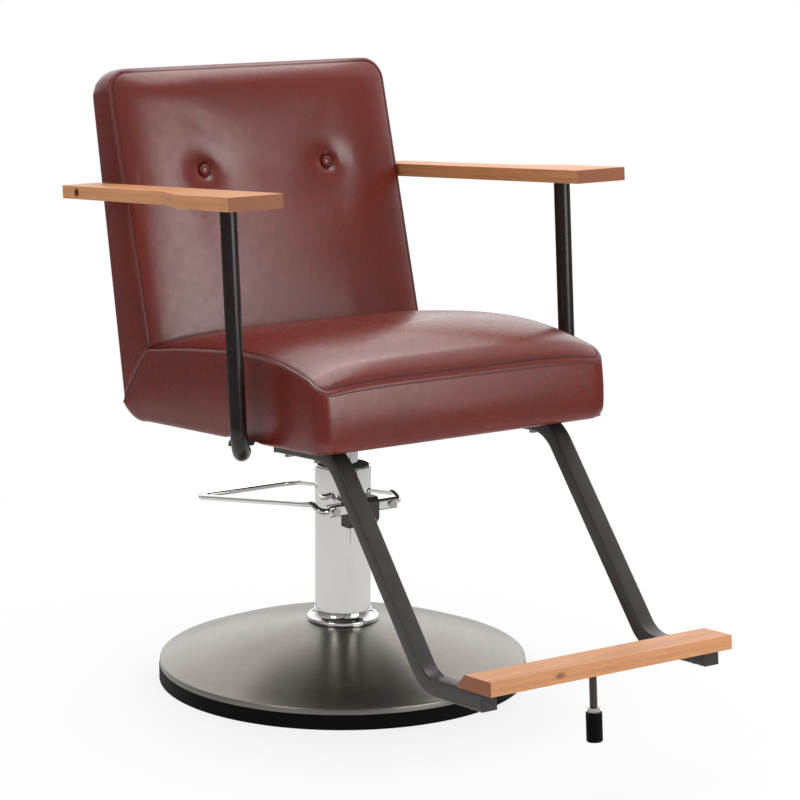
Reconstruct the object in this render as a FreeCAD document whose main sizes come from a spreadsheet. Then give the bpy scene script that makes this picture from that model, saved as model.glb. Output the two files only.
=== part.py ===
import FreeCAD, Part
import math
import os

import Sketcher
from FreeCAD import Placement, Rotation, Vector

# Hydraulic salon chair, seat at its lowest stop.
# +Z is up, the chair faces -Y, the sitter's right is -X, and the origin is the
# centre of the base on the floor. Everything above the swivel is raked back, so
# those pieces are drawn square in a raked seat frame that their placement turns.

DOC = FreeCAD.newDocument("SalonChair")

SIZES = {
    # base and column
    "base_r": (280, "outer radius of the rubber rim"),
    "rim_height": (22.4, "height of the rubber rim"),
    "rim_width": (17.8, "radial width of the rubber rim"),
    "plate_thick": (16, "cast base plate"),
    "cover_lip": (6.6, "upright lip of the base cover above the rim"),
    "cover_shoulder": (4.5, "bevel between the lip and the dome"),
    "cover_top": (88, "height of the dome at the column"),
    "cover_sheet": (1.5, "sheet thickness of the base cover"),
    "dome_radius": (840, "radius of the dome's profile arc"),
    "column_r": (42.2, "outer radius of the column"),
    "column_wall": (3, "wall of the column"),
    "column_top": (328, "top of the column"),
    "window_play": (1.5, "column's window past the rocker's sides"),
    "window_low": (13, "window below the lever shaft"),
    "window_high": (16, "window above the lever shaft"),
    "collar_r": (54, "outer radius of the column's foot ring"),
    "collar_lip": (4, "upright edge of the foot ring"),
    "collar_height": (22, "height of the foot ring"),
    "foot_half": (68, "half side of the pump's square foot"),
    "foot_thick": (10, "pump foot"),
    "foot_corner": (12, "corner radius of the pump foot"),
    "foot_bolt_r": (5, "radius of a foot bolt"),
    "foot_bolt_head": (6, "height of a foot bolt's head"),
    "foot_bolt_end": (5, "metal left under a foot bolt"),
    "foot_bolt_at": (54, "foot bolts from each centre line"),
    # hydraulic ram
    "barrel_r": (29, "outer radius of the ram's barrel"),
    "barrel_wall": (4, "wall of the barrel"),
    "barrel_under": (32, "barrel's mouth below the top of the column"),
    "barrel_floor": (4, "floor of the barrel"),
    "rod_r": (22.5, "radius of the piston rod"),
    "spigot_r": (16, "radius of the rod's top spigot"),
    "spigot_length": (38, "length of the spigot"),
    "shoulder_over": (24, "rod's shoulder above the column at the lowest stop"),
    "piston_height": (26, "height of the piston"),
    "piston_seal": (4, "height of the cup seal under the piston"),
    "gland_height": (18, "rod gland's lower end below the top of the column"),
    "gland_sunk": (1, "rod gland's face below the top of the column"),
    "washer_thick": (4, "thrust washer under the hub"),
    "hub_r": (30, "outer radius of the swivel hub"),
    # pump lever
    "shaft_under": (56, "lever shaft below the top of the column"),
    "shaft_y": (50, "lever shaft in front of the column's axis"),
    "shaft_r": (6, "radius of the lever shaft"),
    "shaft_half": (44, "half length of the lever shaft"),
    "bracket_half": (25, "half width of the shaft bracket"),
    "bracket_front": (62, "front face of the shaft bracket"),
    "bracket_above": (14, "bracket above the shaft"),
    "bracket_below": (30, "bracket below the shaft"),
    "bracket_bevel": (6, "bevel of the bracket's upper front edge"),
    "bracket_chin": (8, "bevel of the bracket's lower front edge, across"),
    "bracket_chin_up": (12, "bevel of the bracket's lower front edge, upwards"),
    "bracket_wrap": (8, "how far the bracket reaches behind the column's front"),
    "bracket_screw_x": (15.5, "bracket screws from the centre line"),
    "bracket_screw_up": (8, "bracket screws above the bracket's underside"),
    "clamp_side": (17.5, "side of the square lever clamps"),
    "clamp_length": (34, "length of a lever clamp"),
    "clamp_corner": (4, "corner radius of a lever clamp"),
    "clamp_play": (1, "gap between the bracket and a clamp"),
    "clamp_bolt_out": (6, "clamp bolts past the shaft's ends"),
    "loop_r": (4.5, "radius of the lever's rod"),
    "loop_front_half": (71, "half width of the loop beside the shaft"),
    "loop_back_half": (95, "half width of the loop at its foot bar"),
    "loop_back_y": (285, "foot bar behind the column's axis"),
    "loop_drop": (40, "foot bar below the lever shaft at rest"),
    "loop_rise": (8, "rise of the rod behind its first bend"),
    "loop_bend": (11, "bend radius beside the clamps"),
    "rocker_arm": (16, "rocker arm from the shaft to its tip"),
    "rocker_thick": (8, "thickness of the rocker"),
    "rocker_hub": (9, "radius of the rocker's hub"),
    "rocker_tip": (4, "radius of the rocker's tip"),
    "lever_travel": (25, "degrees from rest to the end of a stroke"),
    "plunger_r": (3.5, "radius of the pump plunger"),
    "plunger_length": (66, "length of the pump plunger"),
    "sleeve_wall": (1.2, "wall of the plunger's sleeve"),
    "sleeve_under": (27, "mouth of the plunger's sleeve below the lever shaft"),
    "sleeve_bore": (60, "depth of the sleeve's bore"),
    # clearances
    "running": (0.05, "radial clearance of a running fit"),
    "slip": (0.3, "clearance between pieces that only pass each other"),
    "clearance": (1, "room round what is not to touch"),
    # raked seat frame
    "rake": (4.5, "degrees that the seat leans back"),
    "rake_over": (32.6, "rake axis above the rod's shoulder"),
    "deck_z": (24, "top of the steelwork that the seat board rests on"),
    "lining": (1, "dust cloth under the seat board"),
    "board_thick": (18, "plywood of the seat"),
    "board_inset": (5.8, "seat board's sides in from the cushion's seams"),
    "board_front": (300, "front edge of the seat board"),
    "board_back": (184, "rear edge of the seat board"),
    # seat cushion
    "seat_half": (246.8, "half width of the cushions at their seams"),
    "seat_under": (19, "underside of the seat cushion's padded edge"),
    "seat_nose": (305, "where the seat's nose starts, ahead of the axis"),
    "seat_front": (333, "front face of the seat ahead of the axis"),
    "mitre": (279, "y plus z of the joint between seat and back"),
    "mitre_gap": (0.7, "gap between the two cushions"),
    "side_swell": (2.2, "swell of the cushions' sides"),
    "heel_rise": (24, "rise of the seat's rounded rear edge"),
    "heel_depth": (71, "depth of the seat's rounded rear edge"),
    "heel_radius": (75, "radius of the seat's rear edge"),
    # backrest
    "back_lean": (6.4, "degrees that the back's rear face leans from the seat frame"),
    "back_foot_y": (229.8, "rear face of the back at its foot"),
    "back_foot_z": (25, "height of the back frame's origin"),
    "back_height": (518, "length of the back along its rear face"),
    "back_depth": (101.9, "depth of the back at its foot"),
    "back_taper": (44, "loss of depth from foot to top"),
    "back_board_inset": (25.3, "back board's sides in from the cushion's seams"),
    "back_board_thick": (18, "plywood of the back"),
    "back_board_at": (32, "rear face of the back board in from the rear face"),
    "back_board_foot": (66, "lower edge of the back board"),
    "back_bolt_low": (130, "lower strap bolts in the back frame"),
    "back_bolt_high": (250, "upper strap bolts in the back frame"),
    "back_bolt_grip": (12, "depth of the strap bolts in the back board"),
    "back_root": (40, "how far the back's sections start below its frame"),
    "back_corner": (35, "radius of the back's top corners"),
    "back_top_round": (26, "radius of the back's top rear edge"),
    "back_cap": (32, "padding above the hollow for the back board"),
    "button_x": (109.6, "buttons from the centre line"),
    "button_up": (356.7, "buttons above the back frame's origin"),
    "button_r": (8.5, "radius of a button"),
    "button_face": (87.2, "button face in front of the rear face"),
    "button_thick": (5.6, "thickness of a button"),
    "tuft_r": (25, "radius of the hollow round a button"),
    "tuft_deep": (6, "lip of the hollow in front of the button's face"),
    "tuft_slope": (40, "hollow's reach in front of the button's face"),
    "button_edge": (3, "bevel of a button"),
    "back_roll": (28, "height over which the front rolls over to the top seam"),
    "back_roll_swell": (5, "swell of that roll past its chord"),
    # steelwork under the seat
    "plate_half_x": (82, "half width of the seat plate"),
    "plate_half_y": (80, "half depth of the seat plate"),
    "plate_corner": (14, "corner radius of the seat plate"),
    "steel": (6, "thickness of the seat plate and the back straps"),
    "plate_bolt_x": (64, "seat plate bolts from the centre line"),
    "plate_bolt_y": (60, "seat plate bolts fore and aft"),
    "strap_x": (110, "back straps from the centre line"),
    "strap_width": (40, "width of a back strap"),
    "strap_front": (60, "front end of a back strap"),
    "strap_bolt_near": (16, "front strap bolts behind the strap's end"),
    "strap_bolt_far": (90, "rear strap bolts behind the strap's end"),
    "strap_bolt_r": (3, "radius of a back board bolt"),
    "strap_bolt_head": (4, "height of a back board bolt's head"),
    "strap_bolt_head_r": (6, "radius of a back board bolt's head"),
    "strap_slot": (14, "slot in the cushion past a strap's bend"),
    "strap_up": (300, "top end of a back strap in the back frame"),
    "strap_bend": (14, "bend radius of a back strap at mid thickness"),
    # legs and footrest
    "tube": (25, "side of the square leg tube"),
    "tube_wall": (2, "wall of the leg tube"),
    "leg_x": (187.1, "leg tubes from the centre line"),
    "leg_back": (130, "rear end of a leg tube, ahead of the axis"),
    "leg_knee": (274.1, "upper corner of a leg ahead of the axis"),
    "leg_ankle": (488.2, "lower corner of a leg ahead of the axis"),
    "leg_toe": (620.8, "front end of a leg ahead of the axis"),
    "leg_drop": (288.3, "drop from the seat run to the foot run"),
    "knee_bend": (70, "upper bend radius at mid tube"),
    "ankle_bend": (55, "lower bend radius at mid tube"),
    "leg_bolt_back": (150, "rear leg bolts ahead of the axis"),
    "leg_bolt_front": (228, "front leg bolts ahead of the axis"),
    "cap_plug": (14, "length of an end cap inside the tube"),
    "cap_head": (1.6, "thickness of an end cap's face"),
    "plank_over": (2.4, "footrest past the outer sides of the leg tubes"),
    "plank_front": (648.8, "front edge of the footrest ahead of the axis"),
    "plank_depth": (59.3, "depth of the footrest's top face"),
    "plank_thick": (20, "thickness of the footrest"),
    "plank_screw_back": (588, "rear footrest screws ahead of the axis"),
    "plank_screw_front": (603, "front footrest screws ahead of the axis"),
    "bumper_y": (599.7, "bumper ahead of the axis"),
    "bumper_rod_r": (5.2, "radius of the bumper's rod"),
    "bumper_rod_drop": (55.8, "rod below the footrest"),
    "bumper_nut": (6.7, "height of the bumper's nut"),
    "bumper_r": (11.2, "radius of the rubber bumper"),
    "bumper_height": (40.3, "height of the rubber bumper"),
    "bumper_bevel": (1.5, "bevel of the rubber bumper"),
    "bumper_flange": (3, "thickness of the bumper's flange"),
    "bumper_flange_r": (19.2, "radius of the bumper's flange"),
    "bumper_nut_r": (9.2, "radius of the bumper's nut"),
    "screw_bite": (14, "depth of a footrest screw in the plank"),
    # arms and posts
    "arm_top": (376.2, "top face of the arms"),
    "arm_thick": (20, "thickness of an arm"),
    "arm_gap": (1.7, "gap between an arm and the cushions' swollen sides"),
    "arm_wide": (87.1, "width of an arm's front half"),
    "arm_narrow": (58.8, "width of an arm's rear half"),
    "arm_front": (269.7, "front end of an arm ahead of the axis"),
    "arm_step_front": (128.8, "front end of the arm's slant ahead of the axis"),
    "arm_step_back": (40.8, "rear end of the arm's slant ahead of the axis"),
    "arm_back": (272, "rear end of an arm behind the axis"),
    "arm_edge": (1.5, "eased edges of the wood"),
    "arm_bolt_y": (226.8, "arm bolt behind the axis"),
    "arm_bolt_r": (4, "radius of the arm bolt"),
    "arm_bolt_grip": (26, "depth of the arm bolt in the back board"),
    "arm_bore_r": (7, "radius of the sunk hole for the bolt's head"),
    "arm_bore_depth": (12, "depth of the sunk hole"),
    "spacer_r": (8, "radius of the spacer sleeve between arm and back"),
    "post_in": (36.7, "posts in from the inner edge of an arm"),
    "post_y": (182.3, "posts ahead of the axis"),
    "post_r": (12, "radius of a post"),
    "post_wall": (2, "wall of a post"),
    "post_seat": (8, "depth of a post's socket in the arm"),
    "post_bend": (28, "bend radius of a post at mid tube"),
    "post_turn": (55, "degrees of the post's foot from the cross axis"),
    "post_run": (52, "post's foot from the post's axis"),
    "flange": (4, "thickness of a post's flange plate"),
    "flange_width": (36, "width of a flange plate"),
    "flange_start": (26, "near end of a flange plate from the post's axis"),
    "flange_end": (160, "far end of a flange plate from the post's axis"),
    "flange_bolt_near": (92, "near flange bolt from the post's axis"),
    "flange_bolt_far": (142, "far flange bolt from the post's axis"),
    "flange_corner": (8, "corner radius of a flange plate"),
    "plug_depth": (8, "depth of a plug in a post"),
    "arm_skin": (4, "wood left over a post's stud"),
    # fasteners
    "bolt_r": (4, "radius of a frame bolt"),
    "bolt_head_r": (7, "radius of a frame bolt's head"),
    "bolt_head": (5, "height of a frame bolt's head"),
    "bolt_grip": (14, "depth of a frame bolt in the board"),
    "screw_r": (2.5, "radius of a wood screw"),
    "screw_head_r": (5, "radius of a wood screw's head"),
    "screw_head": (3, "height of a wood screw's head"),
}


class Dim:
    """A size that knows its value and the sheet expression that gives it."""

    def __init__(self, value, text):
        self.value = float(value)
        self.text = text

    @staticmethod
    def of(other):
        return other if isinstance(other, Dim) else Dim(other, repr(float(other)))

    def __add__(self, other):
        other = Dim.of(other)
        return Dim(self.value + other.value, f"({self.text} + {other.text})")

    def __radd__(self, other):
        return Dim.of(other) + self

    def __sub__(self, other):
        other = Dim.of(other)
        return Dim(self.value - other.value, f"({self.text} - {other.text})")

    def __rsub__(self, other):
        return Dim.of(other) - self

    def __mul__(self, other):
        other = Dim.of(other)
        return Dim(self.value * other.value, f"({self.text} * {other.text})")

    def __rmul__(self, other):
        return Dim.of(other) * self

    def __truediv__(self, other):
        other = Dim.of(other)
        return Dim(self.value / other.value, f"({self.text} / {other.text})")

    def __neg__(self):
        return Dim(-self.value, f"(-{self.text})")

    def __float__(self):
        return self.value


def root(area):
    """Square root of a size."""
    return Dim(math.sqrt(area.value), f"sqrt({area.text})")


def sine(angle):
    """Sine of an angle in degrees."""
    return Dim(math.sin(math.radians(angle.value)), f"sin({angle.text})")


def cosine(angle):
    """Cosine of an angle in degrees."""
    return Dim(math.cos(math.radians(angle.value)), f"cos({angle.text})")


class Sheet:
    """The driving dimensions, one row each, read back as attributes."""

    def __init__(self, sizes):
        self.cells = DOC.addObject("Spreadsheet::Sheet", "Sizes")
        for row, (name, (value, note)) in enumerate(sizes.items(), start=1):
            self.cells.set(f"A{row}", name)
            self.cells.set(f"B{row}", str(value))
            self.cells.set(f"C{row}", note)
            self.cells.setAlias(f"B{row}", name)
            setattr(self, name, Dim(value, f"Sizes.{name}"))
        DOC.recompute()


S = Sheet(SIZES)
ZERO = Dim(0, "0")

# Places and widths that follow from the sheet.
FOOT_TOP = S.plate_thick + S.foot_thick
SHAFT_Z = S.column_top - S.shaft_under
SHOULDER_Z = S.column_top + S.shoulder_over
RAKE_Z = SHOULDER_Z + S.rake_over
BARREL_TOP = S.column_top - S.barrel_under
SEAT_BOARD_HALF = S.seat_half - S.board_inset
BACK_BOARD_HALF = S.seat_half - S.back_board_inset
BACK_CAVITY_TOP = S.back_height - S.back_cap
ARM_INNER = S.seat_half + S.side_swell + S.arm_gap
POST_X = ARM_INNER + S.post_in
PLANK_HALF = S.leg_x + S.tube / 2 + S.plank_over


class Frame:
    """A frame turned back about the cross axis at a point of the centre plane."""

    def __init__(self, y, z, tilt):
        self.y = y
        self.z = z
        self.tilt = tilt

    def inside(self, y, z, tilt):
        """A frame at (y, z) of this one, turned back by a further tilt."""
        at_y, at_z = self.to_world(y, z)
        return Frame(at_y, at_z, self.tilt + tilt)

    def to_world(self, y, z):
        """The world's y and z of a point of this frame."""
        c, s = cosine(self.tilt), sine(self.tilt)
        return self.y + y * c + z * s, self.z - y * s + z * c

    def from_parent(self, parent, y, z):
        """This frame's y and z of a point given in a parent frame."""
        at_y, at_z = parent.to_world(y, z)
        c, s = cosine(self.tilt), sine(self.tilt)
        dy, dz = at_y - self.y, at_z - self.z
        return dy * c - dz * s, dy * s + dz * c

    def place(self, thing):
        """Place a finished object in this frame."""
        turn = Rotation(Vector(-1, 0, 0), self.tilt.value)
        thing.Placement = Placement(Vector(0, self.y.value, self.z.value), turn)
        if self is not WORLD:
            thing.setExpression("Placement.Base.y", self.y.text)
            thing.setExpression("Placement.Base.z", self.z.text)
            thing.setExpression("Placement.Rotation.Angle", self.tilt.text)


WORLD = Frame(ZERO, ZERO, ZERO)
SEAT = Frame(ZERO, RAKE_Z, S.rake)
BACK = SEAT.inside(S.back_foot_y, S.back_foot_z, S.back_lean)

NODES = []


def new_body(name, frame=WORLD):
    """A PartDesign body that becomes one node.

    Args:
        name: The node's name.
        frame: The frame that the body is drawn in.
    """
    body = DOC.addObject("PartDesign::Body", name)
    body.Label = name
    body.AllowCompound = True
    frame.place(body)
    NODES.append(body)
    return body


def new_shape(name, shape, frame=WORLD):
    """A node whose shape is worked out from the sheet in this file."""
    thing = DOC.addObject("Part::Feature", name)
    thing.Label = name
    thing.Shape = shape
    frame.place(thing)
    NODES.append(thing)
    return thing


def new_sketch(body, plane, offset=ZERO):
    """An empty sketch on one of the body's own planes.

    Args:
        body: The body that holds the sketch.
        plane: "XY", "XZ" or "YZ".
        offset: Distance along the plane's normal (+Z, -Y and +X).
    """
    sketch = body.newObject("Sketcher::SketchObject", body.Name + "_sketch")
    support = [o for o in body.Origin.OriginFeatures if o.Role == plane + "_Plane"][0]
    sketch.AttachmentSupport = [(support, "")]
    sketch.MapMode = "FlatFace"
    sketch.AttachmentOffset = Placement(Vector(0, 0, offset.value), Rotation())
    if offset is not ZERO:
        sketch.setExpression("AttachmentOffset.Base.z", offset.text)
    return sketch


def fix(sketch, kind, where, dim):
    """Add a dimension and bind it to the sheet."""
    index = sketch.addConstraint(Sketcher.Constraint(kind, *where, dim.value))
    sketch.setExpression(f"Constraints[{index}]", dim.text)


def fix_point(sketch, item, end, x, y):
    """Hold a point of the sketch at (x, y)."""
    fix(sketch, "DistanceX", (item, end), Dim.of(x))
    fix(sketch, "DistanceY", (item, end), Dim.of(y))


def circle(sketch, x, y, radius):
    """A circle held by its centre and radius."""
    x, y, radius = Dim.of(x), Dim.of(y), Dim.of(radius)
    shape = Part.Circle(Vector(x.value, y.value, 0), Vector(0, 0, 1), radius.value)
    item = sketch.addGeometry(shape, False)
    fix_point(sketch, item, 3, x, y)
    fix(sketch, "Radius", (item,), radius)


def flat(x, y):
    """A point of a sketch."""
    return Vector(float(x), float(y), 0)


def bulged_arc(start, end, sagitta):
    """The arc from start to end that swells to the right of the way by sagitta."""
    chord = end - start
    side = Vector(chord.y, -chord.x, 0).normalize()
    ends = (start, end) if sagitta > 0 else (end, start)
    return Part.Arc(ends[0], (start + end) * 0.5 + side * sagitta, ends[1])


def chord_radius(start, end, sagitta):
    """The radius of an arc from its ends and its sagitta, which may be negative."""
    dx, dy = end[0] - start[0], end[1] - start[1]
    height = sagitta if sagitta.value > 0 else -sagitta
    return ((dx * dx + dy * dy) / 4 + height * height) / (2 * height)


def outline(sketch, corners, closed=True):
    """A chain of lines and arcs through corners that the sheet drives.

    Args:
        sketch: The sketch to draw in.
        corners: Tuples (x, y), (x, y, round_radius) or (x, y, None, sagitta). A
            round radius rounds the corner between two lines. A sagitta turns the
            edge that leaves the corner into an arc that swells to its right.
        closed: Whether the last corner joins the first.
    """
    points = [(Dim.of(c[0]), Dim.of(c[1])) for c in corners]
    rounds = [Dim.of(c[2]) if len(c) > 2 and c[2] is not None else None for c in corners]
    swells = [Dim.of(c[3]) if len(c) > 3 else None for c in corners]
    count = len(points)
    edges = []
    for i in range(count if closed else count - 1):
        j = (i + 1) % count
        start, end = flat(*points[i]), flat(*points[j])
        way = (end - start).normalize()
        if rounds[i]:
            start = start + way * tangent_length(points, i, rounds[i])
        if rounds[j]:
            end = end - way * tangent_length(points, j, rounds[j])
        if swells[i]:
            edges.append(add_edge(sketch, bulged_arc(start, end, swells[i].value), start))
        else:
            edges.append(add_edge(sketch, Part.LineSegment(start, end), start))
    for i in range(count):
        before = edges[i - 1] if closed or i > 0 else None
        after = edges[i] if i < len(edges) else None
        if before is None:
            fix_point(sketch, after[0], after[1], *points[i])
        elif after is None:
            fix_point(sketch, before[0], before[2], *points[i])
        elif rounds[i]:
            round_corner(sketch, points[i], rounds[i], before[0], after[0])
        else:
            sketch.addConstraint(
                Sketcher.Constraint("Coincident", before[0], before[2], after[0], after[1])
            )
            fix_point(sketch, after[0], after[1], *points[i])
    for i, edge in enumerate(edges):
        if swells[i]:
            radius = chord_radius(points[i], points[(i + 1) % count], swells[i])
            fix(sketch, "Radius", (edge[0],), radius)


def add_edge(sketch, geometry, start):
    """Add an edge; give its number, its end at start and its other end."""
    item = sketch.addGeometry(geometry, False)
    edge = sketch.Geometry[item]
    first = 1 if (edge.StartPoint - start).Length < (edge.EndPoint - start).Length else 2
    return item, first, 3 - first


def tangent_length(points, i, radius):
    """Distance from corner i to where its rounding starts."""
    at = flat(*points[i])
    before = (flat(*points[i - 1]) - at).normalize()
    after = (flat(*points[(i + 1) % len(points)]) - at).normalize()
    half = before.getAngle(after) / 2
    return radius.value / math.tan(half)


def round_corner(sketch, point, radius, before, after):
    """Join two lines with a tangent arc whose lines meet at a driven corner."""
    at = flat(*point)
    start, end = sketch.Geometry[before].EndPoint, sketch.Geometry[after].StartPoint
    inward = ((start + end) * 0.5 - at).normalize()
    reach = math.hypot((start - at).Length, radius.value)
    left = (at - start).cross(end - at).z > 0
    ends = (start, end) if left else (end, start)
    arc = Part.Arc(ends[0], at + inward * (reach - radius.value), ends[1])
    item, first, last = add_edge(sketch, arc, start)
    sketch.addConstraint(Sketcher.Constraint("Tangent", before, 2, item, first))
    sketch.addConstraint(Sketcher.Constraint("Tangent", after, 1, item, last))
    fix(sketch, "Radius", (item,), radius)
    corner = sketch.addGeometry(Part.Point(at), True)
    fix_point(sketch, corner, 1, *point)
    sketch.addConstraint(Sketcher.Constraint("PointOnObject", corner, 1, before))
    sketch.addConstraint(Sketcher.Constraint("PointOnObject", corner, 1, after))


def rectangle(sketch, x_low, x_high, y_low, y_high, corner=None):
    """A rectangle held by its four sides, with rounded corners if asked."""
    tail = () if corner is None else (corner,)
    sides = ((x_low, y_low), (x_high, y_low), (x_high, y_high), (x_low, y_high))
    outline(sketch, [side + tail for side in sides])


def feature(body, kind, sketch, length, side="One side", back=False):
    """A pad or a pocket of a sketch.

    Args:
        body: The body it belongs to.
        kind: "Pad" or "Pocket".
        sketch: The closed sketch.
        length: Its length.
        side: "One side" or "Symmetric".
        back: Whether it runs against its usual direction.
    """
    made = body.newObject("PartDesign::" + kind, body.Name + "_" + kind.lower())
    made.Profile = sketch
    made.SideType = side
    made.Reversed = back
    made.Length = Dim.of(length).value
    made.setExpression("Length", Dim.of(length).text)
    body.Tip = made
    return made


def revolve(body, sketch, kind="Revolution", axis="V_Axis"):
    """A full turn of a sketch about one of its own axes."""
    made = body.newObject("PartDesign::" + kind, body.Name + "_turn")
    made.Profile = sketch
    made.ReferenceAxis = (sketch, [axis])
    made.Angle = 360
    body.Tip = made
    return made


def turned(name, corners, frame=WORLD):
    """A node turned about the frame's upright axis from corners (radius, z)."""
    body = new_body(name, frame)
    sketch = new_sketch(body, "XZ")
    outline(sketch, corners)
    revolve(body, sketch)
    return body


def ring_corners(inner, outer, low, high):
    """The corners of a plain ring's section."""
    return [(inner, low), (outer, low), (outer, high), (inner, high)]


def chamfer_edges(body, pick, size):
    """Bevel the edges of the body's shape that pick accepts."""
    dress_edges(body, "Chamfer", "Size", pick, size)


def fillet_edges(body, pick, radius):
    """Round the edges of the body's shape that pick accepts."""
    dress_edges(body, "Fillet", "Radius", pick, radius)


def dress_edges(body, kind, field, pick, size):
    """Add a chamfer or a fillet on the edges that pick accepts."""
    DOC.recompute()
    base = body.Tip
    shape = base.Shape
    names = [f"Edge{i}" for i, edge in enumerate(shape.Edges, start=1) if pick(edge)]
    if not names:
        raise RuntimeError(f"{body.Label}: no edge to dress")
    made = body.newObject("PartDesign::" + kind, body.Name + "_" + kind.lower())
    made.Base = (base, names)
    setattr(made, field, size.value)
    made.setExpression(field, size.text)
    body.Tip = made


def bolt_group(name, frame, places, under, head, head_r, shank, shank_r):
    """Hexagon bolts whose heads hang below and whose shanks stand up.

    Shanks and the holes that they fill are six-sided prisms of the thread's size.

    Args:
        name: The node's name.
        frame: The frame that they stand in.
        places: List of (x, y) for each bolt.
        under: Height of the seat of the heads.
        head: Height of a head.
        head_r: Radius of a head over its corners.
        shank: Length of a shank above the seat of the head.
        shank_r: Radius of a shank.
    """
    body = new_body(name, frame)
    heads = new_sketch(body, "XY", under)
    shanks = new_sketch(body, "XY", under)
    for x, y in places:
        hexagon(heads, x, y, head_r)
        hexagon(shanks, x, y, shank_r)
    feature(body, "Pad", heads, head, back=True)
    feature(body, "Pad", shanks, shank)
    return body


def hexagon_holes(body, places, level, radius, depth):
    """Six-sided holes that run up from a level of the body."""
    sketch = new_sketch(body, "XY", level)
    for x, y in places:
        hexagon(sketch, x, y, radius)
    feature(body, "Pocket", sketch, depth, back=True)


def hexagon(sketch, x, y, radius):
    """A hexagon with two of its corners on the level line through its centre."""
    x, y, radius = Dim.of(x), Dim.of(y), Dim.of(radius)
    half, tall = radius / 2, radius * math.sqrt(3) / 2
    outline(sketch, [
        (x + radius, y), (x + half, y + tall), (x - half, y + tall),
        (x - radius, y), (x - half, y - tall), (x + half, y - tall),
    ])


def route_wire(points, radii):
    """A wire of straight runs joined by tangent arcs.

    Args:
        points: The corners of the route.
        radii: A bend radius for each inner corner.
    """
    edges = []
    at = points[0]
    for before, corner, after, radius in zip(points, points[1:], points[2:], radii):
        inward, outward = (before - corner).normalize(), (after - corner).normalize()
        half = inward.getAngle(outward) / 2
        start = corner + inward * (radius / math.tan(half))
        end = corner + outward * (radius / math.tan(half))
        middle = (inward + outward).normalize()
        top = corner + middle * (radius / math.sin(half) - radius)
        edges.append(Part.LineSegment(at, start).toShape())
        edges.append(Part.Arc(start, top, end).toShape())
        at = end
    edges.append(Part.LineSegment(at, points[-1]).toShape())
    return Part.Wire(edges)


def rod_along(wire, radius):
    """A round rod swept along a wire."""
    first = wire.Edges[0]
    way = first.tangentAt(first.FirstParameter)
    section = Part.Wire(Part.makeCircle(radius, first.Vertexes[0].Point, way))
    return wire.makePipeShell([section], True, False)


def bent_bar(name, x, points, radii, width, height, wall=None):
    """A flat bar or square tube bent in an upright plane of the seat frame.

    Args:
        name: The node's name.
        x: The plane's distance from the centre line.
        points: Corners (y, z) of the route at mid section; the first run is level.
        radii: Bend radius of each inner corner.
        width: Width across the plane.
        height: Height in the plane.
        wall: Wall thickness, or None for a solid bar.
    """
    body = new_body(name, SEAT)
    spine = new_sketch(body, "YZ", x)
    corners = [points[0]] + [(*p, r) for p, r in zip(points[1:], radii)] + [points[-1]]
    outline(spine, corners, closed=False)
    start_y, start_z = points[0]
    for kind, inset in (("AdditivePipe", 0), ("SubtractivePipe", wall)):
        if inset is None:
            continue
        section = new_sketch(body, "XZ", -start_y)
        rectangle(
            section,
            x - width / 2 + inset, x + width / 2 - inset,
            start_z - height / 2 + inset, start_z + height / 2 - inset,
        )
        pipe = body.newObject("PartDesign::" + kind, name + "_" + kind.lower())
        pipe.Profile = section
        pipe.Spine = (spine, [""])
        body.Tip = pipe
    return body


# base


def make_base():
    """Rubber rim, cast plate, spun cover, and the ring that hides its hole."""
    inner = S.base_r - S.rim_width
    turned("base_rubber_rim", [
        (inner, ZERO), (S.base_r, ZERO), (S.base_r, S.rim_height - 2),
        (S.base_r - 2, S.rim_height), (inner, S.rim_height),
    ])
    body = turned("base_plate", [
        (ZERO, ZERO), (inner, ZERO), (inner, S.plate_thick), (ZERO, S.plate_thick),
    ])
    hexagon_holes(
        body, foot_bolt_places(), S.foot_bolt_end, S.foot_bolt_r,
        S.plate_thick - S.foot_bolt_end,
    )
    make_cover()
    turned("column_foot_ring", [
        (S.column_r + S.slip, S.cover_top), (S.collar_r, S.cover_top),
        (S.collar_r, S.cover_top + S.collar_lip),
        (S.column_r + 3, S.cover_top + S.collar_height),
        (S.column_r + S.slip, S.cover_top + S.collar_height),
    ])


def make_cover():
    """Spun sheet dome: an upright lip, a bevelled shoulder and a long shallow arc."""
    edge = S.base_r - 1
    shoulder_z = S.rim_height + S.cover_lip
    hole = S.column_r + 1.5
    sheet = S.cover_sheet
    outer = [
        (edge, S.rim_height), (edge, shoulder_z),
        (edge - S.cover_shoulder, shoulder_z + S.cover_shoulder), (hole, S.cover_top),
    ]
    inner = [
        (hole, S.cover_top - sheet),
        (edge - S.cover_shoulder - sheet, shoulder_z + S.cover_shoulder - sheet),
        (edge - sheet, shoulder_z - sheet / 2), (edge - sheet, S.rim_height),
    ]
    rise = dome_places(outer[2], outer[3])
    fall = dome_places(inner[1], inner[0])[::-1]
    turned("base_cover", outer[:3] + rise + [outer[3], inner[0]] + fall + inner[1:])


def dome_places(low, high):
    """Places on the dome's arc, a third and two thirds up, where its bands meet."""
    across, up = high[0] - low[0], high[1] - low[1]
    span = across * across + up * up
    radius = S.dome_radius * S.dome_radius
    places = []
    for share in (1 / 3, 2 / 3):
        swell = root(radius - span * (share - 0.5) ** 2) - root(radius - span / 4)
        reach = swell / root(span)
        places.append((
            low[0] + across * share + up * reach, low[1] + up * share - across * reach
        ))
    return places


def foot_bolt_places():
    """The pump foot's four bolts."""
    at = S.foot_bolt_at
    return [(at, at), (-at, at), (-at, -at), (at, -at)]


# column and ram


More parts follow.
